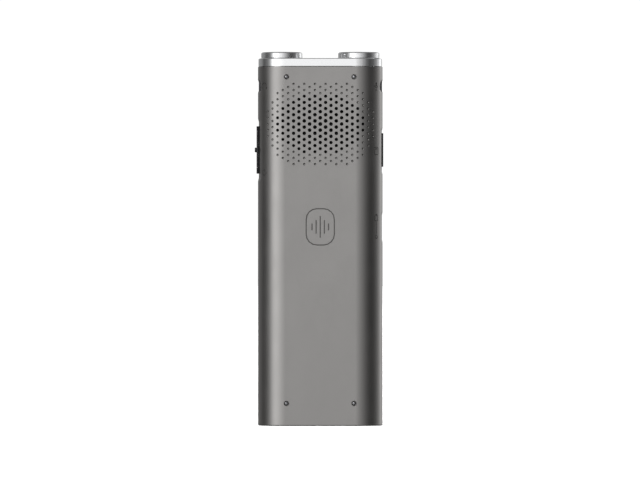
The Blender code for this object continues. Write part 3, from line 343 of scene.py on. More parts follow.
def gather(shapes):
    """One mesh holding several shapes that stay clear of each other."""
    whole = bmesh.new()
    for shape in shapes:
        mesh = bpy.data.meshes.new("shape")
        shape.to_mesh(mesh)
        shape.free()
        whole.from_mesh(mesh)
        bpy.data.meshes.remove(mesh)
    return whole


def stand_on(shape, point, turn, z):
    """Move a shape built on +Y to a point of the body's outline, turned outward by an angle."""
    matrix = Matrix.Translation(Vector((*point, z)) * MM) @ Matrix.Rotation(-turn, 4, "Z")
    bmesh.ops.transform(shape, matrix=matrix, verts=shape.verts)
    return shape


# ---- engraving


def arc_band(centre, radius, start, end):
    """A stroke along part of a circle, that can be grown."""

    def outline(grow):
        half = ICON_STROKE / 2 + grow
        spare = math.degrees(grow / radius)
        ends = (start - spare, end + spare)
        outer = arc(centre, (radius + half, radius + half), *ends, 16)
        inner = arc(centre, (radius - half, radius - half), *ends, 16)
        return outer + inner[::-1]

    return outline


def engraved(shape, sections, ring=False):
    """Cutting shape on the local +Y face; outlines are seen from outside, with u to the right."""
    turned_round = [(along, [(-u, v) for u, v in shape(grow)]) for along, grow in sections]
    return loft("Y", turned_round, ring)


def pocket(shape):
    return engraved(shape, ((-ENGRAVING, -ENGRAVING / 3), (0.0, 0.0), (OVERSHOOT / 2, 0.0)))


def groove(shape, width):
    """Cutting shape for a groove along an outline."""
    half = width / 2
    sections = ((OVERSHOOT / 2, half), (0.0, half), (-ENGRAVING, half - ENGRAVING / 3))
    sections += tuple((along, -grow) for along, grow in reversed(sections))
    return engraved(shape, sections, ring=True)


def bar_pocket(width, height, u=0.0, v=0.0, radius=0.09):
    return pocket(oblong(width, height, radius, (u, v), 4))


# ---- objects


def add_to_scene(name, data):
    item = bpy.data.objects.new(name, data)
    bpy.context.scene.collection.objects.link(item)
    return item


def add_object(name, shape):
    mesh = bpy.data.meshes.new(name)
    shape.to_mesh(mesh)
    shape.free()
    return add_to_scene(name, mesh)


def smooth(item):
    item.data.shade_smooth()
    item.data.set_sharp_from_angle(angle=SHARP_ANGLE)


def change(item, operation, shapes, finish=None):
    """Cut shapes from the object or join them on; their faces may bring a finish of their own."""
    tool = add_object("tool", gather(shapes))
    if finish:
        tool.data.materials.append(FINISHES[finish])
    modifier = item.modifiers.new("change", "BOOLEAN")
    modifier.operation = operation
    modifier.solver = "EXACT"
    modifier.material_mode = "TRANSFER" if finish else "INDEX"
    modifier.object = tool
    depsgraph = bpy.context.evaluated_depsgraph_get()
    mesh = bpy.data.meshes.new_from_object(item.evaluated_get(depsgraph))
    item.modifiers.clear()
    item.data = mesh
    bpy.data.objects.remove(tool)
    smooth(item)


def cut(item, *shapes, finish=None):
    change(item, "DIFFERENCE", shapes, finish)


def join(item, *shapes, finish=None):
    change(item, "UNION", shapes, finish)


def add_piece(name, shape, finish, node, slot=None):
    """A piece with a finish that moves with a CAD node; the slot it is given is not used."""
    item = add_object(name, shape)
    item.data.materials.append(FINISHES[finish])
    smooth(item)
    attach(item, frame["nodes"][node].parent.name.removeprefix("body:"))
    slot or SLOTS[node]
    return item


def stand_in(name, shape, node, finish=None):
    """A piece that is shown in place of a CAD node, in the finish of its slot or another."""
    item = add_piece(name, shape, finish or SLOTS[node], node)
    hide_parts(node)
    return item


def outward(x, y):
    """Direction straight out of the body's upright surface beside this point."""
    corner, depth = (BACK_CORNER, BACK_Y) if y > 0 else (FRONT_CORNER, FRONT_CORNER)
    over_x = max(abs(x) - (HALF_WIDTH - corner), 0.0)
    over_y = y if y > 0 else min(y - (FACE_Y + FRONT_CORNER), 0.0)
    return Vector((math.copysign(over_x, x) / corner**2, over_y / depth**2, 0.0)).normalized()


def follow_body(item, low_z, high_z):
    """Shade the upright outer faces as the true curve of the body, whatever is cut into them."""
    margin = 0.01
    mesh = item.data
    normals = [Vector(corner.vector) for corner in mesh.corner_normals]
    for face in mesh.polygons:
        for corner in face.loop_indices:
            x, y, z = mesh.vertices[mesh.loops[corner].vertex_index].co / MM
            if low_z - margin < z < high_z + margin:
                true_normal = outward(x, y)
                if true_normal.dot(face.normal) > math.cos(CURVE_ANGLE):
                    normals[corner] = true_normal
    mesh.normals_split_custom_set(normals)


# ---- node graphs


class Graph:
    """Adds nodes to a tree, with their inputs given as values or as other nodes' outputs."""

    def __init__(self, tree):
        self.tree = tree

    def add(self, kind, inputs=None, **settings):
        node = self.tree.nodes.new(f"ShaderNode{kind}")
        for name, value in settings.items():
            setattr(node, name, value)
        for name, value in (inputs or {}).items():
            self.feed(node, name, value)
        return node

    def feed(self, node, name, value):
        if isinstance(value, bpy.types.NodeSocket):
            self.tree.links.new(value, node.inputs[name])
        else:
            node.inputs[name].default_value = value

    def maths(self, operation, first, second):
        return self.add("Math", {0: first, 1: second}, operation=operation).outputs[0]

    def spread(self, value, low, high, start=0.3, end=0.7):
        """Stretch a value from start..end to low..high."""
        inputs = {"Value": value, "From Min": start, "From Max": end, "To Min": low, "To Max": high}
        return self.add("MapRange", inputs).outputs["Result"]

    def blend(self, factor, *colours):
        """A colour between two, by a factor from 0 to 1."""
        mix = self.add("Mix", {0: factor}, data_type="RGBA")
        for index, colour in zip((6, 7), colours):
            linked = isinstance(colour, bpy.types.NodeSocket)
            self.feed(mix, index, colour if linked else (*colour, 1.0))
        return mix.outputs[2]


FINISHES = {}


class Finish(Graph):
    """A material built round one Principled shader, kept in FINISHES by its name."""

    def __init__(self, name, **sockets):
        material = bpy.data.materials.new(name)
        material.use_nodes = True
        super().__init__(material.node_tree)
        FINISHES[name] = material
        self.shader = self.tree.nodes["Principled BSDF"]
        for socket, value in sockets.items():
            self.set(socket.replace("_", " "), value)
        self.where = self.add("TexCoord").outputs["Object"]

    def set(self, socket, value):
        self.feed(self.shader, socket, value)

    def paint(self, factor, *colours):
        self.set("Base Color", self.blend(factor, *colours))

    def roughen(self, factor, low, high, *span):
        self.set("Roughness", self.spread(factor, low, high, *span))

    def bump(self, height, depth):
        """Relief of this depth from a height between 0 and 1."""
        inputs = {"Height": height, "Distance": depth * MM, "Strength": 1.0}
        self.set("Normal", self.add("Bump", inputs).outputs["Normal"])

    def noise(self, size, stretch=(1.0, 1.0, 1.0), detail=2.0):
        """Soft noise whose spots are about this size."""
        where = self.add("Mapping", {"Vector": self.where, "Scale": stretch}).outputs["Vector"]
        inputs = {"Vector": where, "Scale": 1 / (size * MM), "Detail": detail}
        return self.add("TexNoise", inputs).outputs["Fac"]

    def cells(self, size, feature="F1"):
        inputs = {"Vector": self.where, "Scale": 1 / (size * MM)}
        return self.add("TexVoronoi", inputs, feature=feature).outputs["Distance"]

    def waves(self, pitch, direction):
        """Even waves; at a scale of 1 the texture's own are 0.314 apart."""
        inputs = {"Vector": self.where, "Scale": 0.314 / (pitch * MM)}
        return self.add("TexWave", inputs, bands_direction=direction).outputs["Fac"]

    def weave(self, pitch):
        return self.maths("MULTIPLY", self.waves(pitch, "X"), self.waves(pitch, "Z"))


def tint(colour, *factors):
    """The colour made darker or lighter, once for each factor."""
    return [tuple(channel * factor for channel in colour) for factor in factors]


# ---- finishes


def satin_metal(name, colour, roughness):
    """Blasted, anodised metal: a fine grain, with faint clouding from handling."""
    finish = Finish(name, Metallic=1.0)
    grain = finish.noise(0.09, detail=3.0)
    cloud = finish.maths("MULTIPLY", finish.noise(14), 0.3)
    shade = finish.maths("ADD", finish.maths("MULTIPLY", grain, 0.7), cloud)
    finish.paint(shade, *tint(colour, 0.95, 1.05))
    smudge = finish.noise(5, (1.0, 1.0, 0.6), 4.0)
    finish.roughen(smudge, roughness - 0.03, roughness + 0.03)
    finish.bump(grain, 0.002)


def polished_metal():
    """Bright plating with the faint marks of wiping."""
    finish = Finish("polished_metal", Metallic=1.0)
    cloud = finish.noise(6, detail=4.0)
    finish.paint(cloud, *tint((0.86, 0.865, 0.875), 0.96, 1.03))
    finish.roughen(cloud, 0.08, 0.15)
    hairline = finish.noise(0.12, (1.0, 1.0, 12.0))
    finish.bump(hairline, 0.0004)


def turned_metal():
    """Bright plating over the fine lines of turning, which soften what it mirrors."""
    finish = Finish("turned_metal", Metallic=1.0)
    lines = finish.waves(0.14, "Z")
    finish.paint(lines, (0.80, 0.805, 0.815), (0.88, 0.885, 0.895))
    finish.roughen(finish.noise(5, detail=3.0), 0.18, 0.24)
    finish.bump(lines, 0.0003)


def brushed_metal(name, colour, roughness, stretch=(1.0, 1.0, 14.0)):
    """Plain steel or plated brass, drawn in one direction."""
    finish = Finish(name, Metallic=1.0)
    lines = finish.noise(0.5, stretch, 3.0)
    finish.paint(finish.noise(2.5, detail=3.0), *tint(colour, 0.85, 1.1))
    finish.roughen(lines, roughness - 0.06, roughness + 0.08)
    finish.bump(lines, 0.002)


def moulded(name, colour, roughness, grain_size=0.12, grain_depth=0.004, **sockets):
    """Moulded plastic or rubber: spark-eroded grain and a slightly uneven sheen."""
    finish = Finish(name, **sockets)
    cloud = finish.noise(4, detail=3.0)
    finish.paint(cloud, *tint(colour, 0.88, 1.12))
    finish.roughen(cloud, roughness - 0.05, roughness + 0.05)
    finish.bump(finish.noise(grain_size, detail=3.0), grain_depth)


def patterned(name, pattern, colours, rough, depth, **sockets):
    """A finish whose colour, sheen and relief all follow one pattern."""
    finish = Finish(name, **sockets)
    kind, *details = pattern
    factor = getattr(finish, kind)(*details)
    finish.paint(factor, *colours)
    finish.roughen(factor, *rough)
    finish.bump(factor, depth)


def circuit_board():
    """Solder resist over tracks that show as a slightly lighter pattern."""
    finish = Finish("green_board", Coat_Weight=0.3)
    tracks = finish.maths("GREATER_THAN", finish.cells(1.6, "DISTANCE_TO_EDGE"), 0.07)
    cloud = finish.noise(3)
    ground = finish.blend(tracks, (0.02, 0.20, 0.09), (0.008, 0.11, 0.045))
    finish.paint(finish.spread(cloud, 0.0, 0.25), ground, (0.01, 0.16, 0.08))
    finish.roughen(cloud, 0.35, 0.5)
    finish.bump(tracks, 0.03)


def amber_film():
    """Polyimide film with copper tracks under it."""
    finish = Finish("flex_film", Coat_Weight=0.4)
    tracks = finish.waves(0.8, "X")
    finish.paint(tracks, (0.30, 0.12, 0.015), (0.62, 0.33, 0.08))
    finish.roughen(finish.noise(1.5), 0.25, 0.45)
    finish.bump(tracks, 0.015)


def clear_glass():
    """Hard cover glass with the faintest smears."""
    finish = Finish("window_glass", Transmission_Weight=1.0, IOR=1.4)
    smear = finish.noise(7, (1.0, 1.0, 0.5), 4.0)
    finish.paint(smear, (0.90, 0.915, 0.93), (0.95, 0.96, 0.97))
    finish.roughen(smear, 0.0, 0.01)


def display_glass():
    """Dark display panel, faintly lit from behind through its pixel grid."""
    finish = Finish("display_glass", Emission_Strength=0.04, Specular_IOR_Level=0.2)
    grid = finish.weave(0.18)
    finish.paint(grid, (0.006, 0.008, 0.012), (0.014, 0.018, 0.028))
    finish.set("Emission Color", finish.blend(grid, (0.05, 0.10, 0.18), (0.12, 0.22, 0.36)))
    finish.roughen(finish.noise(6), 0.12, 0.2)


def lit_segments(name, colour):
    """A lit part of the display picture, slightly uneven as a backlight is."""
    finish = Finish(name, Emission_Strength=1.1, Roughness=0.4)
    lit = finish.blend(finish.noise(9), *tint(colour, 0.85, 1.0))
    finish.set("Base Color", lit)
    finish.set("Emission Color", lit)


def make_finishes():
    """The finish of every material slot, and of a few details."""
    satin_metal("satin_metal", (0.33, 0.322, 0.315), 0.33)
    satin_metal("etched_metal", (0.15, 0.147, 0.143), 0.5)
    # The dimples' metal is painted darker than the satin round it: painted shade in their hollows.
    satin_metal("dimple_metal", (0.2, 0.195, 0.19), 0.42)
    polished_metal()
    turned_metal()
    brushed_metal("steel", (0.5, 0.5, 0.51), 0.3)
    brushed_metal("screw_steel", (0.26, 0.26, 0.27), 0.24)
    brushed_metal("gold_contacts", (0.83, 0.6, 0.27), 0.25, (6.0, 1.0, 1.0))
    brushed_metal("magnet_steel", (0.3, 0.3, 0.32), 0.4, (1.0, 1.0, 1.0))
    moulded("black_gloss", (0.012, 0.012, 0.013), 0.16, grain_depth=0.0005)
    moulded("black_satin", (0.03, 0.03, 0.032), 0.45)
    moulded("deep_black", (0.006, 0.006, 0.007), 0.2, grain_depth=0.0005, Specular_IOR_Level=0.12)
    moulded("dull_black", (0.02, 0.02, 0.021), 0.5, Specular_IOR_Level=0.15)
    moulded("black_print", (0.006, 0.006, 0.007), 0.35, 0.05, 0.001, Specular_IOR_Level=0.2)
    moulded("white_print", (0.72, 0.73, 0.74), 0.5, 0.05, 0.001)
    moulded("white_plastic", (0.75, 0.75, 0.72), 0.5)
    moulded("key_plastic", (0.07, 0.07, 0.074), 0.4)
    moulded("red_plastic", (0.5, 0.018, 0.018), 0.32, Coat_Weight=0.15)
    moulded("chassis_plastic", (0.05, 0.05, 0.055), 0.6, 0.3, 0.01)
    moulded("chip_plastic", (0.022, 0.022, 0.024), 0.6, 0.08, 0.006)
    moulded("clear_light", (0.65, 0.06, 0.05), 0.2, Transmission_Weight=0.4)
    moulded("red_wire", (0.55, 0.02, 0.02), 0.45, 0.3, 0.006)
    moulded("black_wire", (0.02, 0.02, 0.02), 0.45, 0.3, 0.006)
    moulded("rubber", (0.02, 0.02, 0.021), 0.8, 0.2, 0.01)
    black_weave = ((0.004, 0.004, 0.004), (0.016, 0.016, 0.017))
    patterned("cloth", ("weave", 0.22), black_weave, (0.8, 0.95, 0.0, 1.0), 0.05, Sheen_Weight=0.2)
    pores = ((0.02, 0.02, 0.022), (0.07, 0.07, 0.075))
    patterned("foam", ("cells", 0.25), pores, (0.85, 1.0, 0.0, 1.0), 0.08)
    fibres = ((0.03, 0.03, 0.032), (0.075, 0.073, 0.07))
    patterned("paper_cone", ("noise", 0.3, (1.0, 1.0, 3.0), 5.0), fibres, (0.6, 0.8), 0.02)
    winding = ((0.4, 0.14, 0.06), (0.8, 0.38, 0.18))
    patterned("copper", ("waves", 0.12, "Y"), winding, (0.4, 0.25, 0.0, 1.0), 0.04, Metallic=1.0)
    foil = ((0.42, 0.44, 0.47), (0.6, 0.62, 0.65))
    wrinkles = ("noise", 2.2, (1.0, 1.0, 0.35), 5.0)
    patterned("battery_foil", wrinkles, foil, (0.22, 0.4), 0.08, Metallic=0.9)
    circuit_board()
    amber_film()
    clear_glass()
    display_glass()
    lit_segments("pale_segments", (0.62, 0.80, 1.0))
    lit_segments("red_segments", (1.0, 0.10, 0.06))


# ---- cuts in the shells


def grille_shapes():
    """Cutting shapes for the grille: holes near its middle and blind dimples round them."""
    holes = []
    dimples = []
    columns = int(GRILLE_HALF[0] / GRILLE_COLUMN_PITCH)
    rows = int(GRILLE_HALF[1] / GRILLE_ROW_PITCH)
    middle_z = middle("speaker_frame")[1]
    for column in range(-columns, columns + 1):
        across = column * GRILLE_COLUMN_PITCH
        point, turn = back_place(across)
        for row in range(-rows, rows + 1):
            rise = row * GRILLE_ROW_PITCH
            edge = abs(across / GRILLE_HALF[0]) ** GRILLE_SQUARENESS
            edge += abs(rise / GRILLE_HALF[1]) ** GRILLE_SQUARENESS
            if (column + row) % 2 or edge > 1:
                continue
            reach = math.hypot(across / THROUGH_HALF[0], rise / THROUGH_HALF[1])
            if reach <= 1:
                holes.append(stand_on(grille_hole(reach), point, turn, middle_z + rise))
            else:
                dimples.append(stand_on(dimple(), point, turn, middle_z + rise))
    return holes, dimples


def grille_hole(reach):
    """A hole right through, with a small countersink; smaller away from the middle."""
    radius = HOLE_RADIUS + (EDGE_HOLE_RADIUS - HOLE_RADIUS) * reach
    rim = 0.05
    profile = ((-2 * WALL, radius), (-rim, radius), (0.0, radius + rim), (OVERSHOOT, radius + rim))
    return turned("Y", (0.0, 0.0), profile, sides=20)


def dimple():
    """A blind dimple, shaped like part of a ball."""
    rim = 2 * math.atan(DIMPLE_DEPTH / DIMPLE_RADIUS)
    ball = DIMPLE_RADIUS / math.sin(rim)
    bottom = 0.1 * rim  # a tiny flat, so that the first section has a size
    centre = (ball * math.cos(rim), 0.0)
    profile = arc(centre, (-ball, ball), math.degrees(bottom), math.degrees(rim), 4)
    return turned("Y", (0.0, 0.0), [*profile, (OVERSHOOT / 2, DIMPLE_RADIUS)], sides=16)


def side_recesses():
    """Cutting shapes for the recesses, which follow the sides and run out on the front corners."""
    low_y = FACE_Y + 0.5 * FRONT_CORNER
    edge = -0.05  # starts a hair outside the surface
    steps = 16
    for node, side, below, above, end_slope, depth, high_y in RECESSES:
        low, high = box(node)
        foot, top = low.z - below, high.z + above
        heights = (foot, foot + end_slope, top - end_slope, top)
        floor_width = high_y - 0.9 - low_y
        across = [low_y + floor_width * i / steps for i in range(steps + 1)]
        outside = side * (HALF_WIDTH + OVERSHOOT)
        rear_edge = (side * (side_surface(high_y) - edge), high_y)
        sections = []
        for z, inset in zip(heights, (edge, depth, depth, edge)):
            floor = [(side * (side_surface(y) - inset), y) for y in across]
            sections.append((z, [(outside, low_y), *floor, rear_edge, (outside, high_y)]))
        yield loft("Z", sections)


def jack_place(node):
    """Which side a jack is on, and its centre in y and z."""
    return math.copysign(1, box(node)[1].x), middle(node, "yz")


def jack_opening(node):
    """Cutting shape for a jack: a round hole that flares at the surface."""
    side, centre = jack_place(node)
    hole = JACK_COLLAR + 0.12
    flare = JACK_COLLAR + 0.35
    depths = ((3 * WALL, hole), (0.3, hole), (0.15, hole + 0.06), (0.05, flare))
    depths += ((-OVERSHOOT, flare),)
    return turned("X", centre, [(side * (HALF_WIDTH - depth), radius) for depth, radius in depths])


def side_openings():
    """Cutting shapes for the openings of the slide switch, the USB socket and the card door.

    Each has a width, a height, a corner radius and a centre.
    """
    slider = (1.8, 5.4, 0.5, middle("hold_slider", "yz"))
    usb_width, usb_height = size("usb_socket", "yz")
    usb = (usb_width + 0.5, usb_height + 0.5, 1.1, middle("usb_socket", "yz"))
    door_width, door_height = size("card_door", "yz")
    door = (door_width + 0.4, door_height + 0.35, 0.2, middle("card_door", "yz"), 2)
    for side, opening in ((1, slider), (-1, usb), (-1, door)):
        ends = (side * (HALF_WIDTH - 2 * WALL), side * (HALF_WIDTH + OVERSHOOT))
        yield prism("X", *ends, rounded_rectangle(*opening))


def screw_well(node):
    """Cutting shape for one screw: a well for the head, with a broken edge."""
    shank = 0.62
    well = 0.88
    seat = BACK_Y - 0.75
    rim = 0.03
    profile = ((BACK_Y - 2 * WALL, shank), (seat, shank), (seat, well), (BACK_Y - rim, well))
    profile += ((BACK_Y, well + rim), (BACK_Y + OVERSHOOT, well + rim))
    return turned("Y", middle(node), profile, sides=32)


def voice_mark():
    """Generic mark: level bars, as of a voice, inside an upright rounded ring."""
    yield groove(oblong(9.0, 11.6, 3.4, steps=4), MARK_STROKE)
    pitch = 1.32
    for index, length in zip(range(-2, 3), (2.2, 4.4, 7.0, 4.4, 2.2)):
        yield bar_pocket(MARK_STROKE, length, index * pitch, radius=MARK_STROKE / 2)


def headphone_icon():
    yield pocket(arc_band((0.0, 0.0), 1.0, 0, 180))
    for side in (-1, 1):
        yield bar_pocket(0.5, 0.9, side * 0.98, -0.6, 0.2)


def microphone_icon():
    yield bar_pocket(0.62, 1.3, 0.0, 0.5, 0.31)
    yield pocket(arc_band((0.0, 0.35), 0.82, 190, 350))
    yield bar_pocket(ICON_STROKE, 0.42, 0.0, -0.95)
    yield bar_pocket(0.9, ICON_STROKE, 0.0, -1.36)


def card_icon():
    yield groove(oblong(1.7, 2.3, 0.3, steps=4), ICON_STROKE)
    for index in (-1, 0, 1):
        yield bar_pocket(ICON_STROKE, 0.6, index * 0.42, 0.6)


def cable_icon():
    """A plug on the end of a lead."""
    yield groove(oblong(1.3, 1.7, 0.25, (0.0, 3.0), 4), ICON_STROKE)
    yield bar_pocket(0.9, ICON_STROKE, 0.0, 4.2)
    yield bar_pocket(ICON_STROKE, 4.2, 0.0, -0.2)
    yield groove(disc(0.5, (0.0, -3.0), 32), ICON_STROKE)


def switch_icon():
    """An open ring with a short bar, the usual sign for a power or hold switch."""
    yield pocket(arc_band((0.0, 0.0), 0.85, 125, 415))
    yield bar_pocket(ICON_STROKE, 0.9, 0.0, 0.75)


def engravings():
    """The mark on the back, and each small icon on the corner beside what it names."""
    for shape in voice_mark():
        yield stand_on(shape, (0.0, BACK_Y), 0.0, MARK_Z)
    jack_z = middle("headphone_jack")[1]
    places = (
        (headphone_icon, 1, jack_z),
        (microphone_icon, -1, jack_z),
        (card_icon, -1, middle("card_socket")[1]),
        (cable_icon, -1, middle("usb_socket")[1]),
        (switch_icon, 1, box("hold_slider")[0].z + 0.3),
    )
    for icon, side, z in places:
        point, turn = corner_place(side, ICON_ANGLE)
        for shape in icon():
            yield stand_on(shape, point, turn, z)


# ---- shells


def shell_sections(outline):
    """Sections of a shell whose edges are rounded at its foot and at its top."""
    foot = [(rise, outline(inset)) for rise, inset in edge_steps(EDGE_BREAK)]
    top = [(BODY_TOP - inset, outline(rise)) for rise, inset in edge_steps(TOP_EDGE, 2)]
    return foot + top


def make_rear_shell():
    shell = stand_in("rear_shell", loft("Z", shell_sections(rear_outline)), "rear_housing")
    cut(shell, prism("Z", FLOOR, BODY_TOP + OVERSHOOT, rear_outline(WALL, SEAM_Y - OVERSHOOT)))
    cut(shell, *[screw_well(node) for node in SCREWS])
    cut(shell, *side_recesses())
    cut(shell, *[jack_opening(node) for node in JACKS])
    cut(shell, *side_openings())
    holes, dimples = grille_shapes()
    cut(shell, *holes)
    # The dimples take the darker metal, which paints shade into their hollows.
    cut(shell, *dimples, finish="dimple_metal")
    cut(shell, *engravings(), finish="etched_metal")
    follow_body(shell, EDGE_BREAK, BODY_TOP - TOP_EDGE)


def opening_sections(shape, rim, depth):
    """Sections of an opening, from the face inward: a gap round a shape, its edge broken."""
    gap = 0.2
    steps = ((-OVERSHOOT, gap + rim), (0.0, gap + rim), (rim, gap), (depth, gap))
    return [(FACE_Y + sink, shape(grow)) for sink, grow in steps]


def window_opening():
    """Cutting shape for the window's ledge and, through its floor, the view of the display."""
    ledge_depth = 0.9
    ledge = 1.6
    sections = opening_sections(window_shape(), 0.1, ledge_depth)
    width, height = size("display_window")
    view = rounded_rectangle(width - 2 * ledge, height - 2 * ledge, 0.6, middle("display_window"))
    sections += [(FACE_Y + ledge_depth, view), (FACE_Y + 2 * FRONT_PLATE, view)]
    return loft("Y", sections)


def window_shape():
    return oblong(*size("display_window"), 1.6, middle("display_window"))


def cap_shape(node, flange=KEY_FLANGE):
    """Outline of a cap, whose node's box is that of its flange; the light's has round ends."""
    width, height = size(node)
    radius = KEY_CORNERS.get(node, height / 2 - flange)
    return oblong(width - 2 * flange, height - 2 * flange, radius, middle(node))


def make_front_shell():
    sections = shell_sections(lambda inset: front_outline(inset, inset))
    shell = stand_in("front_shell", loft("Z", sections), "front_panel")
    cavity = front_outline(WALL, FRONT_PLATE, PANEL_SEAM_Y + OVERSHOOT)
    cut(shell, prism("Z", FLOOR, BODY_TOP + OVERSHOOT, cavity))
    cut(shell, *side_recesses())
    cut(shell, window_opening())
    ring = disc(size("nav_ring")[0] / 2 - KEY_FLANGE, middle("nav_ring"))
    light = cap_shape("record_light", LIGHT_FLANGE)
    caps = [*[cap_shape(node) for node in KEY_CORNERS], ring, light]
    cut(shell, *[loft("Y", opening_sections(cap, 0.12, 2 * FRONT_PLATE)) for cap in caps])
    follow_body(shell, EDGE_BREAK, BODY_TOP - TOP_EDGE)


# ---- window and display


def make_window():
    """Cover glass over a black printed border."""
    low, high = box("display_window")
    window = window_shape()
    plate = soft_prism("Y", high.y, low.y, window, 0.18)
    stand_in("window_glass_plate", plate, "display_window")
    width, height = size("display_window")
    view = rounded_rectangle(width - 4.6, height - 7.0, 0.5, middle("display_window"))
    outer = window(-0.15)
    near = high.y + 0.01
    far = high.y + 0.05
    border = loft("Y", [(near, outer), (far, outer), (far, view), (near, view)], ring=True)
    add_piece("window_border", border, "black_print", "display_window", "display_glass")


SEGMENTS = {  # lit bars of each digit, in the order of SEGMENT_PLACES
    "0": "1110111",
    "2": "1011101",
    "3": "1011011",
    "4": "0111010",
    "5": "1101011",
}
SEGMENT_PLACES = ((0, 2), (-1, 1), (1, 1), (0, 0), (-1, -1), (1, -1), (0, -2))  # column and row
DIGIT_WIDTH = 3.1
DIGIT_HEIGHT = 6.4
DIGIT_PITCH = 4.0
DIGIT_STROKE = 0.55
COLON_PITCH = 1.7


def lit_shape(outline):
    """A flat shape on the front of the display panel."""
    face = box("display_panel")[0].y
    return prism("Y", face - 0.02, face - 0.005, outline)


def bar(x, z, width, height):
    return lit_shape(rounded_rectangle(width, height, 0.12, (x, z), 2))


def digit(figure, left, middle_z):
    """The lit bars of one seven-bar digit."""
    gap = 0.12
    half = DIGIT_HEIGHT / 2
    row_pitch = (half - DIGIT_STROKE / 2) / 2
    for lit, (column, row) in zip(SEGMENTS[figure], SEGMENT_PLACES):
        x = left + (DIGIT_WIDTH + column * (DIGIT_WIDTH - DIGIT_STROKE)) / 2
        if lit == "1" and column:
            yield bar(x, middle_z + row * half / 2, DIGIT_STROKE, half - DIGIT_STROKE / 2 - gap)
        elif lit == "1":
            yield bar(x, middle_z + row * row_pitch, DIGIT_WIDTH - DIGIT_STROKE - gap, DIGIT_STROKE)


def running_time(middle_x, middle_z):
    """Lit bars of six digits in pairs, with a colon between the pairs."""
    groups = ("00", "24", "35")
    left = middle_x - (6 * DIGIT_PITCH + 2 * COLON_PITCH - (DIGIT_PITCH - DIGIT_WIDTH)) / 2
    for place_in_time, group in enumerate(groups):
        if place_in_time:
            for rise in (-1.2, 1.2):
                yield bar(left + 0.35, middle_z + rise, 0.6, 0.6)
            left += COLON_PITCH
        for figure in group:
            yield from digit(figure, left, middle_z)
            left += DIGIT_PITCH


def level_bars(middle_x, middle_z):
    """Two rows of level bars between two lines, and three bars for the battery."""
    for row, reach in enumerate((15, 12)):
        for index in range(reach):
            yield bar(middle_x - 11.0 + index * 1.25, middle_z - 5.5 - 2.6 * row, 0.8, 1.7)
    for line_z in (middle_z + 11.0, middle_z - 11.5):
        yield bar(middle_x, line_z, 23.0, 0.25)
    for index in range(3):
        yield bar(middle_x + 8.2 + 1.2 * index, middle_z + 14.2, 0.9, 1.7)


def make_display_picture():
    """Running time, level bars and a red dot on the display."""
    x, z = middle("display_window")
    time = gather(running_time(x, z + 5.0))
    add_piece("display_time", time, "pale_segments", "display_panel")
    add_piece("display_levels", gather(level_bars(x, z)), "pale_segments", "display_panel")
    dot = lit_shape(circle(1.0, (x - 10.0, z + 14.2), 24))
    add_piece("display_dot", dot, "red_segments", "display_panel")


# ---- keys


def crowned(back, face, shape, crown):
    """A key cap: rounded at its edge, then rising slowly to a flat middle."""
    edge = 0.3
    sections = [(back, shape(0.0))]
    sections += [(face + crown + inset, shape(-rise)) for rise, inset in edge_steps(edge, 5)]
    sections += [(face + crown / 3, shape(-edge - 0.5)), (face, shape(-edge - 1.1))]
    return loft("Y", sections)


def sign(node, outlines, sink=0.0):
    """A printed sign on a key, a hair proud of its face."""
    face = box(node)[0].y + sink
    shapes = [prism("Y", face - 0.025, face + 0.08, outline) for outline in outlines]
    add_piece(f"{node}_sign", gather(shapes), "white_print", node, "white_plastic")


def make_keys():
    """Crowned caps, each with a hidden flange and a round pusher behind it."""
    flange_front = FACE_Y + FRONT_PLATE + 0.15
    flange_back = FACE_Y + 2.15
    crown = 0.06
    for node in KEY_CORNERS:
        low, high = box(node)
        shape = cap_shape(node)
        cap = stand_in(f"{node}_cap", crowned(high.y - 1.0, low.y, shape, crown), node)
        flange = shape(KEY_FLANGE)
        pusher = rounded_rectangle(2.4, 2.4, 1.2, middle(node))
        sections = [(flange_front, flange), (flange_back, flange)]
        sections += [(flange_back, pusher), (high.y, pusher)]
        join(cap, loft("Y", sections))
    make_key_signs()


def make_key_signs():
    """Signs for recording, stopping and playing, and dots to tell the function keys apart."""
    sign("record_key", [circle(1.5, middle("record_key"), 40)])
    sign("stop_key", [rounded_rectangle(2.1, 2.1, 0.15, middle("stop_key"), 3)])
    x, z = middle("play_key")
    pause = [rounded_rectangle(0.45, 2.0, 0.1, (x + shift, z), 2) for shift in (0.75, 1.55)]
    sign("play_key", [triangle(1.25, (x - 0.95, z), 0), *pause])
    for node, shifts in (("function_key_left", (0.0,)), ("function_key_right", (-0.65, 0.65))):
        x, z = middle(node)
        sign(node, [circle(0.4, (x + shift, z), 24) for shift in shifts])


def make_four_way_key():
    """Dished ring with an arrow over each of its four pushers, round the OK key."""
    low, high = box("nav_ring")
    centre = middle("nav_ring")
    face = low.y
    outer = size("nav_ring")[0] / 2 - KEY_FLANGE
    inner = 4.7
    edge = 0.35
    outer_edge = [(face + rise, outer - inset) for rise, inset in edge_steps(edge)]
    inner_edge = [(face + rise, inner + inset) for rise, inset in edge_steps(edge)]
    steps = 12
    dish = []
    for step in range(steps + 1):
        share = step / steps
        sink = 0.16 * math.sin(math.pi * share) ** 2
        dish.append((face + sink, outer - edge - share * (outer - inner - 2 * edge)))
    flange_front = FACE_Y + 2.05
    flange_back = FACE_Y + 2.55
    flange = outer + KEY_FLANGE
    profile = [(flange_back, flange), (flange_front, flange), (flange_front, outer)]
    profile += [*outer_edge[:0:-1], *dish, *inner_edge[1:], (flange_back, inner)]
    ring = stand_in("nav_ring_cap", turned("Y", centre, profile, ring=True), "nav_ring")
    pushers = circle(7.0, centre, 4)
    pusher = ((flange_back - 0.2, 0.9), (high.y, 0.9))
    join(ring, *[turned("Y", point, pusher, sides=24) for point in pushers])
    arrows = [triangle(0.65, point, 90 * turn) for turn, point in enumerate(pushers)]
    sign("nav_ring", arrows, 0.15)


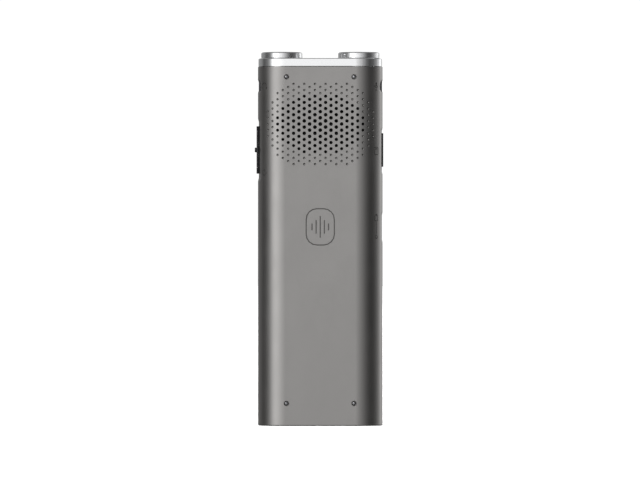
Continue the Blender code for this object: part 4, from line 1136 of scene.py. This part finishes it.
def make_ok_key():
    low, high = box("ok_key")
    centre = middle("ok_key")
    radius = 4.2
    flange = radius + 1.4
    pusher = 1.2
    cap = crowned(FACE_Y + 2.7, low.y, disc(radius, centre), 0.08)
    key = stand_in("ok_key_cap", cap, "ok_key")
    foot = [(FACE_Y + 2.65, radius / 2), (FACE_Y + 2.85, flange), (FACE_Y + 3.25, flange)]
    foot += [(FACE_Y + 3.25, pusher), (high.y, pusher)]
    join(key, turned("Y", centre, foot))
    sign("ok_key", [circle(0.55, centre, 32)])


def make_record_light():
    low, high = box("record_light")
    shape = cap_shape("record_light", LIGHT_FLANGE)
    plate_back = FACE_Y + FRONT_PLATE
    lens = soft_prism("Y", plate_back + 0.15, low.y, shape, 0.2)
    light = stand_in("record_light_lens", lens, "record_light")
    join(light, prism("Y", plate_back + 0.1, high.y, shape(LIGHT_FLANGE)))


# ---- top end


def make_band():
    low, high = box("top_band")
    inset = HALF_WIDTH - high.x
    foot = 0.04
    bevel = 0.22
    plate = 1.1
    hole = 5.35
    sections = [(low.z, body_outline(inset + foot)), (low.z + foot, body_outline(inset))]
    sections += [(high.z - bevel, body_outline(inset)), (high.z, body_outline(inset + bevel))]
    band = stand_in("top_band_shell", loft("Z", sections), "top_band")
    cut(band, prism("Z", low.z - OVERSHOOT, high.z - plate, body_outline(inset + WALL)))
    ends = ((low.z, hole), (high.z + OVERSHOOT, hole))
    cut(band, *[turned("Z", middle(f"mic_barrel_{hand}", "xy"), ends) for hand in HANDS])
    follow_body(band, low.z + foot, high.z - bevel)


def make_microphone(hand):
    """Turned barrel with fine lines round its cap, over a disc of woven wire."""
    node = f"mic_barrel_{hand}"
    low, high = box(node)
    radius = size(node)[0] / 2
    shoulder = box("top_band")[1].z + 0.15
    top = high.z
    neck = 5.2
    bore = 4.5
    mouth = 3.9
    ease = 0.06
    bevel = 0.33
    lip = 0.3
    lip_bottom = top - 0.8
    line = 0.035
    profile = [(low.z, neck), (shoulder, neck)]
    profile += [(shoulder, radius - ease), (shoulder + ease, radius)]
    for index in range(3):
        z = shoulder + 0.45 + index * 0.42
        profile += [(z - line, radius), (z, radius - line), (z + line, radius)]
    profile += [
        (top - bevel, radius),
        (top, radius - bevel),
        (top, mouth + lip + 0.9),
        (top - ease, mouth + lip + 0.75),
        (top - ease, mouth + lip),
        (top - lip, mouth + 0.05),
        (lip_bottom, mouth),
        (lip_bottom, bore),
        (low.z, bore),
    ]
    barrel = turned("Z", middle(node, "xy"), profile, ring=True, sides=96)
    stand_in(f"{node}_turned", barrel, node, "turned_metal")
    make_woven_disc(hand)


def make_woven_disc(hand):
    """Plain-woven wire, cut to the round of the CAD disc."""
    node = f"mic_mesh_{hand}"
    low, high = box(node)
    radius = (high.x - low.x) / 2
    thick = high.z - low.z
    wire = 0.235 * thick
    swing = thick / 2 - wire
    pitch = 0.43
    count = int(radius / pitch)
    wires = []
    for index in range(-count, count + 1):
        offset = index * pitch
        half = math.sqrt(radius**2 - offset**2)
        steps = max(4, int(8 * half / pitch))
        for axis, way in (("X", 1), ("Y", -1)):
            sections = []
            for step in range(steps + 1):
                along = -half + 2 * half * step / steps
                rise = way * swing * math.cos(math.pi * (along / pitch + index))
                sections.append((along, circle(wire, (offset, rise), 6)))
            wires.append(loft(axis, sections))
    woven = gather(wires)
    centre = Vector((*middle(f"mic_barrel_{hand}", "xy"), (low.z + high.z) / 2))
    bmesh.ops.translate(woven, verts=woven.verts, vec=centre * MM)
    stand_in(f"{node}_woven", woven, node)


# ---- screws, sockets and sides


def make_screw(node):
    """Domed head with a small six-sided drive, on a plain shank."""
    low, high = box(node)
    centre = middle(node)
    radius = size(node)[0] / 2
    shank = 0.5
    dome = 0.45
    head = high.y - 0.5
    profile = [(low.y, 0.3 * shank), (low.y + 0.5, shank), (head, shank), (head, radius)]
    profile += arc((high.y - dome, 0.0), (dome, radius), 90, 0, 8)[:-1]
    screw = stand_in(f"{node}_domed", turned("Y", centre, profile, sides=40), node, "screw_steel")
    cut(screw, prism("Y", high.y - 0.14, high.y + OVERSHOOT, circle(0.16, centre, 6)))


def make_jack(node):
    """Socket block with a round collar, a bore with an eased mouth, and a spring contact."""
    side, centre = jack_place(node)
    back, front = sorted(abs(corner.x) for corner in box(node))
    mouth = front - 0.12
    bore = 1.8
    ease = 0.15
    eased = mouth - ease
    block_end = 17.8

    def round_shape(*profile, ring=False):
        return turned("X", centre, [(side * along, radius) for along, radius in profile], ring)

    block = prism("X", side * back, side * block_end, rounded_rectangle(4.9, 5.4, 0.4, centre, 4))
    item = stand_in(f"{node}_body", block, node, "black_satin")
    collar = ((block_end - 0.5, JACK_COLLAR), (eased, JACK_COLLAR), (mouth, JACK_COLLAR - ease))
    join(item, round_shape(*collar))
    widening = ((eased, bore), (mouth, bore + ease), (mouth + OVERSHOOT, bore + ease))
    cut(item, round_shape((back + 0.8, bore), *widening))
    inner, outer = mouth - 2.2, mouth - 1.1
    seat, tip = bore - 0.02, bore - 0.25
    corners = ((inner, seat), (outer, seat), (outer, tip), (inner, tip))
    add_piece(f"{node}_contact", round_shape(*corners, ring=True), "gold_contacts", node, "steel")


def make_usb_socket():
    """Drawn steel mouth, with a tongue that carries five contacts."""
    low, high = box("usb_socket")
    centre = middle("usb_socket", "yz")
    outline = oblong(*size("usb_socket", "yz"), 0.9, centre)
    mouth = low.x
    sheet = 0.28
    outer_ease = 0.08
    inner_ease = 0.06
    sections = [
        (high.x, outline(0.0)),
        (mouth + outer_ease, outline(0.0)),
        (mouth, outline(-outer_ease)),
        (mouth, outline(inner_ease - sheet)),
        (mouth + inner_ease, outline(-sheet)),
        (high.x - 0.6, outline(-sheet)),
    ]
    stand_in("usb_socket_shell", loft("X", sections), "usb_socket")
    tongue = prism("X", mouth + 0.6, high.x - 0.65, rounded_rectangle(0.6, 4.0, 0.1, centre, 2))
    add_piece("usb_tongue", tongue, "black_satin", "usb_socket", "black_satin")
    strips = []
    for index in range(-2, 3):
        strip_centre = (centre[0] + 0.32, centre[1] + index * 0.65)
        strip = rounded_rectangle(0.06, 0.35, 0.02, strip_centre, 1)
        strips.append(prism("X", mouth + 0.8, high.x - 0.8, strip))
    add_piece("usb_contacts", gather(strips), "gold_contacts", "usb_socket", "steel")


def make_card_door():
    """Cover on its pin, with a raised pad that has finger grooves at its free end."""
    low, high = box("card_door")
    pivot = middle("card_door_pin")
    width = high.y - low.y
    middle_y = (low.y + high.y) / 2
    face = 0.25 - HALF_WIDTH
    reach = pivot[0] - face
    back = pivot[0] + reach
    ease = 0.08
    bevel = 0.1
    side_view = [(back, low.z + ease), (back - ease, low.z)]
    side_view += [(face + bevel, low.z), (face, low.z + bevel)]
    side_view += arc(pivot, (reach, reach), 180, 0, 24)
    cover = prism("Y", low.y, high.y, side_view)
    door = stand_in("card_door_cover", cover, "card_door", "dull_black")
    pad_low = low.z + 1.3
    pad_high = high.z - 0.9
    pad = oblong(width - 0.2, pad_high - pad_low, 0.5, (middle_y, (pad_low + pad_high) / 2))
    join(door, soft_prism("X", face + 0.3, low.x, pad, 0.14))
    pitch = 0.85
    centres = [(middle_y, pad_low + 1.1 + index * pitch) for index in range(3)]
    outlines = [rounded_rectangle(width - 1.2, 0.5, 0.24, centre) for centre in centres]
    cut(door, *[prism("X", low.x + 0.12, low.x - OVERSHOOT, outline) for outline in outlines])
    pin_hole = circle(0.26, pivot, 24)
    cut(door, prism("Y", low.y - OVERSHOOT, high.y + OVERSHOOT, pin_hole))


def make_hold_slider():
    """Black cradle, with a grip pad that carries a ribbed nub."""
    low, high = box("hold_slider")
    pad_low, pad_high = box("hold_slider_pad")
    middle_y, middle_z = middle("hold_slider", "yz")
    width = high.y - low.y
    base = HALF_WIDTH - 0.25
    floor = HALF_WIDTH + 0.03
    face = high.x
    clear = 0.08
    edge = 0.12
    seat = (pad_low.z - clear, pad_high.z + clear)
    side_view = [(base, low.z), *arc((face - edge, low.z + edge), (edge, edge), -90, 0, 4)]
    side_view += [(face, seat[0]), (floor, seat[0]), (floor, seat[1]), (face, seat[1])]
    side_view += [*arc((face - edge, high.z - edge), (edge, edge), 0, 90, 4), (base, high.z)]
    frame_shape = prism("Y", low.y, high.y, side_view)
    cradle = stand_in("hold_slider_cradle", frame_shape, "hold_slider", "deep_black")
    stem = rounded_rectangle(1.1, 2.4, 0.2, (middle_y, middle_z), 3)
    join(cradle, prism("X", low.x, base + 0.1, stem))
    pad_middle = (middle_y, middle("hold_slider_pad")[1])
    pad = oblong(width - 0.1, pad_high.z - pad_low.z, 0.12, pad_middle)
    pad_shape = soft_prism("X", floor - 0.02, face, pad, 0.05)
    grip = stand_in("hold_slider_grip", pad_shape, "hold_slider_pad", "dull_black")
    nub = oblong(width - 0.4, 1.5, 0.3, (middle_y, middle_z))
    join(grip, soft_prism("X", face - 0.15, pad_high.x, nub, 0.15), finish="deep_black")
    pitch = 0.36
    centres = [(middle_y, middle_z + index * pitch) for index in (-1, 0, 1)]
    outlines = [rounded_rectangle(width, 0.14, 0.06, centre, 2) for centre in centres]
    ends = (pad_high.x - 0.1, pad_high.x + OVERSHOOT)
    cut(grip, *[prism("X", *ends, outline) for outline in outlines])


# ---- CAD parts that stay


def dress_cad_nodes():
    """Give every node that keeps its CAD mesh the finish of its slot."""
    for name, item in frame["nodes"].items():
        for slot in item.material_slots:
            slot.link = "OBJECT"
            slot.material = FINISHES[SLOTS[name]]


# ---- studio

# Direction round the studio, in degrees from +Y towards +X, and how bright it is there
STUDIO_LIGHT = (
    (-180, 0.40), (-150, 0.60), (-128, 1.20), (-108, 0.56), (-90, 0.23), (-72, 0.09),
    (-56, 0.06), (-44, 0.12), (-32, 0.29), (-20, 0.53), (-9, 0.71), (0, 0.96),
    (12, 1.05), (28, 1.60), (42, 1.70), (50, 1.10), (57, 0.52), (64, 0.28),
    (74, 0.15), (92, 0.09), (118, 0.24), (140, 0.29), (180, 0.40),
)
OVERHEAD_LEVEL = 0.22
BACKDROP_LEVEL = 1.05


def light_round_studio(graph, parts):
    """How bright the surround is in each direction round it."""
    turn = graph.maths("ARCTAN2", parts["X"], parts["Y"])
    round_studio = graph.maths("ADD", graph.maths("DIVIDE", turn, 2 * math.pi), 0.5)
    ramp = graph.add("ValToRGB", {"Fac": round_studio})
    ramp.color_ramp.interpolation = "EASE"
    stops = ramp.color_ramp.elements
    brightest = max(level for _, level in STUDIO_LIGHT)
    while len(stops) < len(STUDIO_LIGHT):
        stops.new(0.5)
    for stop, (angle, level) in zip(stops, STUDIO_LIGHT):
        stop.position = angle / 360 + 0.5
        stop.color = (level / brightest,) * 3 + (1.0,)
    return graph.maths("MULTIPLY", ramp.outputs["Color"], brightest)


def make_world():
    """Soft studio surround: a broad light panel on one side, dim card on the other."""
    world = bpy.data.worlds.new("studio")
    bpy.context.scene.world = world
    world.use_nodes = True
    graph = Graph(world.node_tree)
    direction = graph.add("TexCoord").outputs["Generated"]
    parts = graph.add("SeparateXYZ", {0: direction}).outputs
    height = graph.spread(parts["Z"], 0.35, 1.65, -0.25, 0.25)
    around = graph.maths("MULTIPLY", light_round_studio(graph, parts), height)
    overhead = graph.spread(parts["Z"], 0.0, 1.0, 0.25, 0.55)
    below_panels = graph.maths("MULTIPLY", around, graph.maths("SUBTRACT", 1.0, overhead))
    level = graph.maths("ADD", below_panels, graph.maths("MULTIPLY", overhead, OVERHEAD_LEVEL))
    light = graph.add("Background", {"Color": level, "Strength": 1.0})
    plain = graph.add("Background", {"Color": (1.0, 1.0, 1.0, 1.0), "Strength": BACKDROP_LEVEL})
    seen_by_camera = graph.add("LightPath").outputs["Is Camera Ray"]
    mix = graph.add("MixShader", {0: seen_by_camera, 1: light.outputs[0], 2: plain.outputs[0]})
    output = world.node_tree.nodes["World Output"]
    world.node_tree.links.new(mix.outputs[0], output.inputs["Surface"])


def make_floor():
    """Pale floor that glows more with distance, so that it meets the backdrop without a line."""
    floor = add_object("floor", prism("Z", -2.0, 0.0, circle(6000.0)))
    finish = Finish("floor", Roughness=0.9)
    finish.set("Specular IOR Level", 0.0)
    finish.set("Emission Color", (1.0, 1.0, 1.0, 1.0))
    reach = finish.add("VectorMath", {0: finish.where}, operation="LENGTH").outputs["Value"]
    finish.set("Emission Strength", finish.spread(reach, 0.3, 1.0, 0.3, 3.0))
    finish.paint(finish.noise(400.0), (0.93, 0.93, 0.93), (0.95, 0.95, 0.95))
    floor.data.materials.append(FINISHES["floor"])
    floor.visible_glossy = False
    floor.visible_transmission = False
    floor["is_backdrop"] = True


def add_soft_light(name, location, diameter, energy):
    """A large round light turned to the recorder; its place and size are in metres."""
    data = bpy.data.lights.new(name, "AREA")
    data.shape = "DISK"
    data.size = diameter
    data.energy = energy
    light = add_to_scene(name, data)
    light.location = location
    aim = Vector((0.0, 0.0, BODY_TOP / 2 * MM)) - light.location
    light.rotation_mode = "QUATERNION"
    light.rotation_quaternion = aim.to_track_quat("-Z", "Y")
    return light


def make_lights():
    """A key light above and to the left of the camera, and a ceiling light for the floor."""
    add_soft_light("key_light", (3.0, 3.4, 3.6), 2.2, 110.0)
    ceiling = add_soft_light("ceiling_light", (0.0, 0.0, 5.0), 4.0, 300.0)
    ceiling.visible_glossy = False


def make_camera():
    """Long lens, level with the middle of the recorder, square to its back."""
    data = bpy.data.cameras.new("camera")
    data.sensor_width = 36.0
    data.lens = 350.0
    data.clip_start = 0.1
    data.clip_end = 50.0
    camera = add_to_scene("camera", data)
    camera.location = Vector((0.09, 1997.0, 59.5)) * MM
    camera.rotation_euler = (math.pi / 2, 0.0, math.pi)
    bpy.context.scene.camera = camera
    bpy.context.scene.view_settings.view_transform = "Standard"


# ---- whole recorder


def build():
    make_finishes()
    dress_cad_nodes()
    make_rear_shell()
    make_front_shell()
    make_window()
    make_display_picture()
    make_keys()
    make_four_way_key()
    make_ok_key()
    make_record_light()
    make_band()
    for hand in HANDS:
        make_microphone(hand)
    for node in SCREWS:
        make_screw(node)
    for node in JACKS:
        make_jack(node)
    make_usb_socket()
    make_card_door()
    make_hold_slider()
    make_world()
    make_floor()
    make_lights()
    make_camera()


build()

boxes = {"cad": cad_box, "visual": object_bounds()}
{name: [list(corner) for corner in box] for name, box in boxes.items()}
